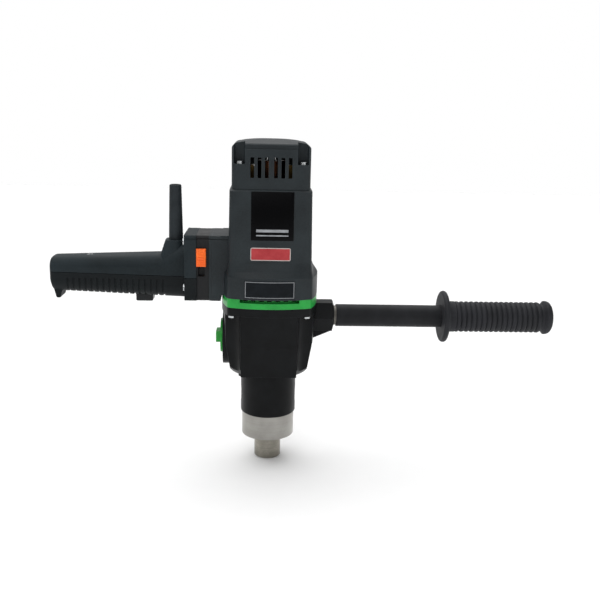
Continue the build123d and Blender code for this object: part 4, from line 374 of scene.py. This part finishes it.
nodeFinish = {
    "motor_cap": motorNylon, "motor_housing": motorNylon, "handle_joint_plate": motorNylon,
    "switch_housing": trackNylon, "handle_upper_shell": handleNylon, "handle_lower_shell": lowerNylonPaintedShade,
    "trigger": triggerAcetal, "gear_housing": caseBlackPaint, "gearcase_cover": coverGreenPaint,
    "gear_selector": selectorGreen, "direction_slider": sliderOrange, "clamping_collar": collarSteel,
    "spindle": spindleSteel, "gearcase_screws": zincPlate, "cap_screws": zincPlate,
    "handle_shell_screws": zincPlate, "handle_flange_screws": zincPlate, "layshaft": gearSteel,
    "intermediate_gear": gearSteel, "low_gear_wheel": gearSteel, "high_gear_wheel": gearSteel,
    "shift_sleeve": gearSteel, "shift_fork": gearSteel, "fork_rod": bearingSteel,
    "selector_retainer": gearSteel, "armature_shaft": gearSteel, "side_handle_stud": gearSteel,
    "spindle_lower_bearing": bearingSteel, "spindle_upper_bearing": bearingSteel,
    "layshaft_bearing": bearingSteel, "motor_lower_bearing": bearingSteel,
    "motor_upper_bearing": bearingSteel, "stator_core": laminationSteel, "armature_core": laminationSteel,
    "field_coils": enamelledCopper, "armature_windings": enamelledCopper, "commutator": commutatorCopper,
    "brush_holders": holderBrassPaintedShade, "layshaft_bush": holderBrassPaintedShade, "brush_springs": springSteel,
    "carbon_brushes": brushCarbon, "fan": innerNylon, "air_guide_ring": innerNylon,
    "trigger_switch": innerNylon, "direction_switch": innerNylon, "cable_clamp": innerNylon,
    "spindle_seal": sealRubber, "strain_relief": sleeveRubber, "side_handle_grip": gripRubber,
    "side_handle_washer": washerAluminium, "side_handle_tube": tubePowderCoat,
}
for nodeName, material in nodeFinish.items():
    mesh = nodes[nodeName].data
    mesh.materials.clear()
    mesh.materials.append(material)
print("finishes on", len(nodeFinish), "nodes; without one:", sorted(set(nodes) - set(nodeFinish)))


# Plates on the motor's front
plateBlack = paintedFinish("plateBlackFilm", {     # gloss black film
    "dark": "#050506", "light": "#0A0A0C", "peelMm": 4, "peelStrength": 0.03, "patchMm": 15,
    "roughness": 0.3, "edgeMm": 0.2, "edgeWearAndHighlight": 0.2, "edge": "#2A2A2C", "constants": filmGloss})
plateSilver = turnedFinish("plateSilverPrint", {   # silver print, faintly mottled
    "dark": "#8B8E92", "light": "#A9ACB0", "ringMm": 1.5, "ringStrength": 0.03, "stainMm": 4,
    "roughness": 0.42, "constants": {"Metallic": 0.6}})
plateRed = paintedFinish("plateRedFilm", {         # red print under a clear film
    "dark": "#A63A3E", "light": "#B8484B", "peelMm": 4, "peelStrength": 0.03, "patchMm": 8,
    "roughness": 0.32, "edgeMm": 0.2, "edgeWearAndHighlight": 0.2, "edge": "#C87A7A", "constants": filmGloss})
platePale = paintedFinish("platePaleFilm", {       # off-white film edge
    "dark": "#B9AFAB", "light": "#CAC2BE", "peelMm": 4, "peelStrength": 0.03, "patchMm": 6,
    "roughness": 0.36, "edgeMm": 0.2, "edgeWearAndHighlight": 0.2, "edge": "#E0DAD6", "constants": filmGloss})
plateSlate = paintedFinish("plateSlateFilm", {     # dark slate film
    "dark": "#15181B", "light": "#1C2024", "peelMm": 4, "peelStrength": 0.03, "patchMm": 10,
    "roughness": 0.34, "edgeMm": 0.2, "edgeWearAndHighlight": 0.2, "edge": "#3A3F44", "constants": filmGloss})
plateGrey = paintedFinish("plateGreyPrint", {      # grey print
    "dark": "#7A7D80", "light": "#8C8F92", "peelMm": 4, "peelStrength": 0.03, "patchMm": 5,
    "roughness": 0.4, "edgeMm": 0.2, "edgeWearAndHighlight": 0.2, "edge": "#A8ABAE", "constants": filmGloss})

frontPlates = [
    {"name": "blackPlate", "across": (-19.7, 23.3), "up": (222.2, 271.2), "corner": 0.0, "margin": 0.0,
     "line": 0.0, "field": plateBlack, "print": plateSilver, "slot": "motor_plastic",
     "bars": [(-14.5, 18.0, 230.6, 233.4), (-14.5, 18.0, 226.6, 227.8)]},
    {"name": "redPlate", "across": (-20.0, 20.7), "up": (201.6, 214.8), "corner": 1.6, "margin": 0.0,
     "line": 0.8, "field": plateRed, "print": platePale, "slot": "motor_plastic", "bars": []},
    {"name": "framedPlate", "across": (-25.8, 25.6), "up": (163.3, 181.6), "corner": 0.8, "margin": 0.7,
     "line": 0.8, "field": plateSlate, "print": plateGrey, "slot": "motor_plastic", "bars": []},
]
plateThickness = 0.35 * mm
plateStandOff = -0.07                   # m, where a plate starts before it is laid on the wall
plateStrips = 12                        # strips across, to follow the bowed wall
plateEdge = 0.1 * mm                    # rounding of a plate's rim
rimAngle = math.radians(60)             # sharper turns than this are rims
smoothAngle = math.radians(35)          # flatter turns than this are shaded smooth


def insetField(thickness, slotIndex):
    # Draws the selected field in and gives it a print of its own
    bpy.ops.mesh.inset(thickness=thickness * mm, use_even_offset=True)
    bpy.context.object.active_material_index = slotIndex
    bpy.ops.object.material_slot_assign()


def cutPlate(axis, place):
    bpy.ops.mesh.select_all(action="SELECT")
    centre, normal = [0.0, 0.0, 0.0], [0.0, 0.0, 0.0]
    centre[axis] = place * mm
    normal[axis] = 1.0
    bpy.ops.mesh.bisect(plane_co=centre, plane_no=normal)


def applyModifier(piece, kind, **settings):
    modifier = piece.modifiers.new(kind.title(), kind)
    for name, value in settings.items():
        setattr(modifier, name, value)
    bpy.context.view_layer.objects.active = piece
    bpy.ops.object.modifier_apply(modifier=modifier.name)


def makePlate(plate):
    (left, right), (low, high) = plate["across"], plate["up"]
    bpy.ops.object.select_all(action="DESELECT")
    bpy.ops.mesh.primitive_plane_add(size=1, rotation=(math.pi / 2, 0, 0),
                                     location=((left + right) / 2 * mm, plateStandOff, (low + high) / 2 * mm))
    piece = bpy.context.object
    piece.name = plate["name"]
    piece.scale = ((right - left) * mm, (high - low) * mm, 1)
    bpy.ops.object.transform_apply(location=True, rotation=True, scale=True)
    piece.data.materials.append(plate["field"])
    piece.data.materials.append(plate["print"])
    bpy.ops.object.mode_set(mode="EDIT")
    bpy.ops.mesh.select_all(action="SELECT")
    if plate["corner"]:
        bpy.ops.mesh.bevel(offset=plate["corner"] * mm, segments=4, affect="VERTICES")
        bpy.ops.mesh.select_all(action="SELECT")
    if plate["margin"]:
        insetField(plate["margin"], 1)
    elif plate["line"]:
        bpy.context.object.active_material_index = 1
        bpy.ops.object.material_slot_assign()
    if plate["line"]:
        insetField(plate["line"], 0)
    for x0, x1, z0, z1 in plate["bars"]:
        for axis, place in ((0, x0), (0, x1), (2, z0), (2, z1)):
            cutPlate(axis, place)
    for i in range(1, plateStrips):
        cutPlate(0, left + (right - left) * i / plateStrips)
    bpy.ops.object.mode_set(mode="OBJECT")
    for face in piece.data.polygons:
        x, z = face.center.x / mm, face.center.z / mm
        for x0, x1, z0, z1 in plate["bars"]:
            if x0 < x < x1 and z0 < z < z1:
                face.material_index = 1
    applyModifier(piece, "SHRINKWRAP", target=nodes["motor_housing"], wrap_method="PROJECT",
                  use_project_y=True, use_positive_direction=True, use_negative_direction=False)
    applyModifier(piece, "SOLIDIFY", thickness=plateThickness, offset=1.0)
    applyModifier(piece, "BEVEL", width=plateEdge, segments=2, limit_method="ANGLE", angle_limit=rimAngle)
    bpy.ops.object.shade_smooth_by_angle(angle=smoothAngle)
    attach(piece, "drill_body")
    return piece


for plate in frontPlates:
    makePlate(plate)
print("plates laid on the motor")


# Grip ribs on the direction slider
sliderRibs = {"count": 5, "pitch": 2.8, "width": 7.4, "depth": 1.1, "height": 0.7, "edge": 0.25,
              "standOff": 0.1}


def makeSliderRibs(ribs):
    low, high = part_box("direction_slider")
    middle = (low + high) / 2
    bpy.ops.object.select_all(action="DESELECT")
    firstZ = middle.z - (ribs["count"] - 1) / 2 * ribs["pitch"] * mm
    bpy.ops.mesh.primitive_cube_add(size=1, location=(middle.x, low.y - ribs["standOff"] * mm, firstZ))
    piece = bpy.context.object
    piece.name = "sliderRibs"
    piece.scale = (ribs["width"] * mm, ribs["height"] * mm, ribs["depth"] * mm)
    bpy.ops.object.transform_apply(location=True, rotation=True, scale=True)
    bpy.ops.object.mode_set(mode="EDIT")
    bpy.ops.mesh.select_all(action="SELECT")
    bpy.ops.mesh.bevel(offset=ribs["edge"] * mm, segments=3, affect="EDGES")
    bpy.ops.object.mode_set(mode="OBJECT")
    applyModifier(piece, "ARRAY", count=ribs["count"], use_relative_offset=False, use_constant_offset=True,
                  constant_offset_displace=(0, 0, ribs["pitch"] * mm))
    bpy.ops.object.shade_smooth_by_angle(angle=smoothAngle)
    piece.data.materials.append(sliderOrange)
    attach(piece, "slider")


makeSliderRibs(sliderRibs)
print("slider ribbed")


# Stage: pale floor under the spindle nose, white surroundings, soft boxes
stage = {
    "floorSize": 6.0,                       # m
    "floorZ": cadBounds[0][2] - 0.2 * mm,   # just clear of the spindle nose
    "floorColour": "#FCFCFC", "fibreColour": "#F9F9F9", "fibreMm": 30,
}


def makeStage(settings):
    bpy.ops.object.select_all(action="DESELECT")
    bpy.ops.mesh.primitive_plane_add(size=settings["floorSize"], location=(0, 0, settings["floorZ"]))
    floor = bpy.context.object
    floor.name = "floor"
    bpy.ops.object.transform_apply(location=True, rotation=True, scale=True)
    material, tree, shader, place = startMaterial("floorPaper")
    fibres = addNode(tree, "ShaderNodeTexNoise", {"Scale": perMm(settings["fibreMm"]), "Detail": 2.0},
                     {"Vector": place})
    shade = rampBetween(tree, fibres.outputs[0], (0.0, settings["fibreColour"]),
                        (1.0, settings["floorColour"]))
    tree.links.new(shade, shader.inputs["Base Color"])
    finish(shader, {"Roughness": 0.9, "Specular IOR Level": 0.1})
    floor.data.materials.append(material)


makeStage(stage)

skyPanel = {"stand": (-0.25, 0.5, 1.5), "aim": (0.0, 0.0, 0.1), "spread": 75.0, "strength": 2.5}
softBoxes = [
    # name, where it stands (m), where it points (m), size (m), power (W)
    ("keyBox", (-0.4, -1.3, 1.3), (0.0, 0.0, 0.15), (1.3, 1.3), 11.0),
    ("fillBox", (1.1, -1.2, 0.6), (0.05, 0.0, 0.12), (0.9, 0.9), 3.0),
]


def pointLamp(lamp, stand, aim):
    lamp.rotation_euler = (Vector(stand) - Vector(aim)).to_track_quat("Z", "Y").to_euler()


def makeLamps():
    # A wide even panel over the table, and two soft boxes in front
    bpy.ops.object.light_add(type="SUN", location=skyPanel["stand"])
    panel = bpy.context.object
    panel.name = "skyPanel"
    panel.data.angle = math.radians(skyPanel["spread"])
    panel.data.energy = skyPanel["strength"]
    pointLamp(panel, skyPanel["stand"], skyPanel["aim"])
    for name, stand, aim, size, power in softBoxes:
        bpy.ops.object.light_add(type="AREA", location=stand)
        box = bpy.context.object
        box.name = name
        pointLamp(box, stand, aim)
        box.data.shape = "RECTANGLE"
        box.data.size, box.data.size_y = size
        box.data.energy = power


makeLamps()


roomLight = {"front": 0.1, "behind": 0.5}


def makeSurroundings():
    # White paper behind and above, a dimmer room in front; the camera sees plain white
    world = bpy.data.worlds.new("studio")
    bpy.context.scene.world = world
    world.use_nodes = True
    tree = world.node_tree
    tree.nodes.clear()
    direction = addNode(tree, "ShaderNodeTexCoord").outputs["Generated"]
    parts = addNode(tree, "ShaderNodeSeparateXYZ", links={0: direction})
    behind = addNode(tree, "ShaderNodeMapRange",
                     {1: -0.6, 2: 0.5, 3: roomLight["front"], 4: roomLight["behind"]}, {0: parts.outputs[1]})
    room = addNode(tree, "ShaderNodeBackground", {0: (1, 1, 1, 1)}, {1: behind.outputs[0]})
    paper = addNode(tree, "ShaderNodeBackground", {0: (1, 1, 1, 1), 1: 1.0})
    ray = addNode(tree, "ShaderNodeLightPath")
    mixed = addNode(tree, "ShaderNodeMixShader", links={0: ray.outputs["Is Camera Ray"], 1: room.outputs[0],
                                                        2: paper.outputs[0]})
    addNode(tree, "ShaderNodeOutputWorld", links={0: mixed.outputs[0]})


makeSurroundings()
bpy.context.scene.view_settings.view_transform = "Standard"
print("stage lit")
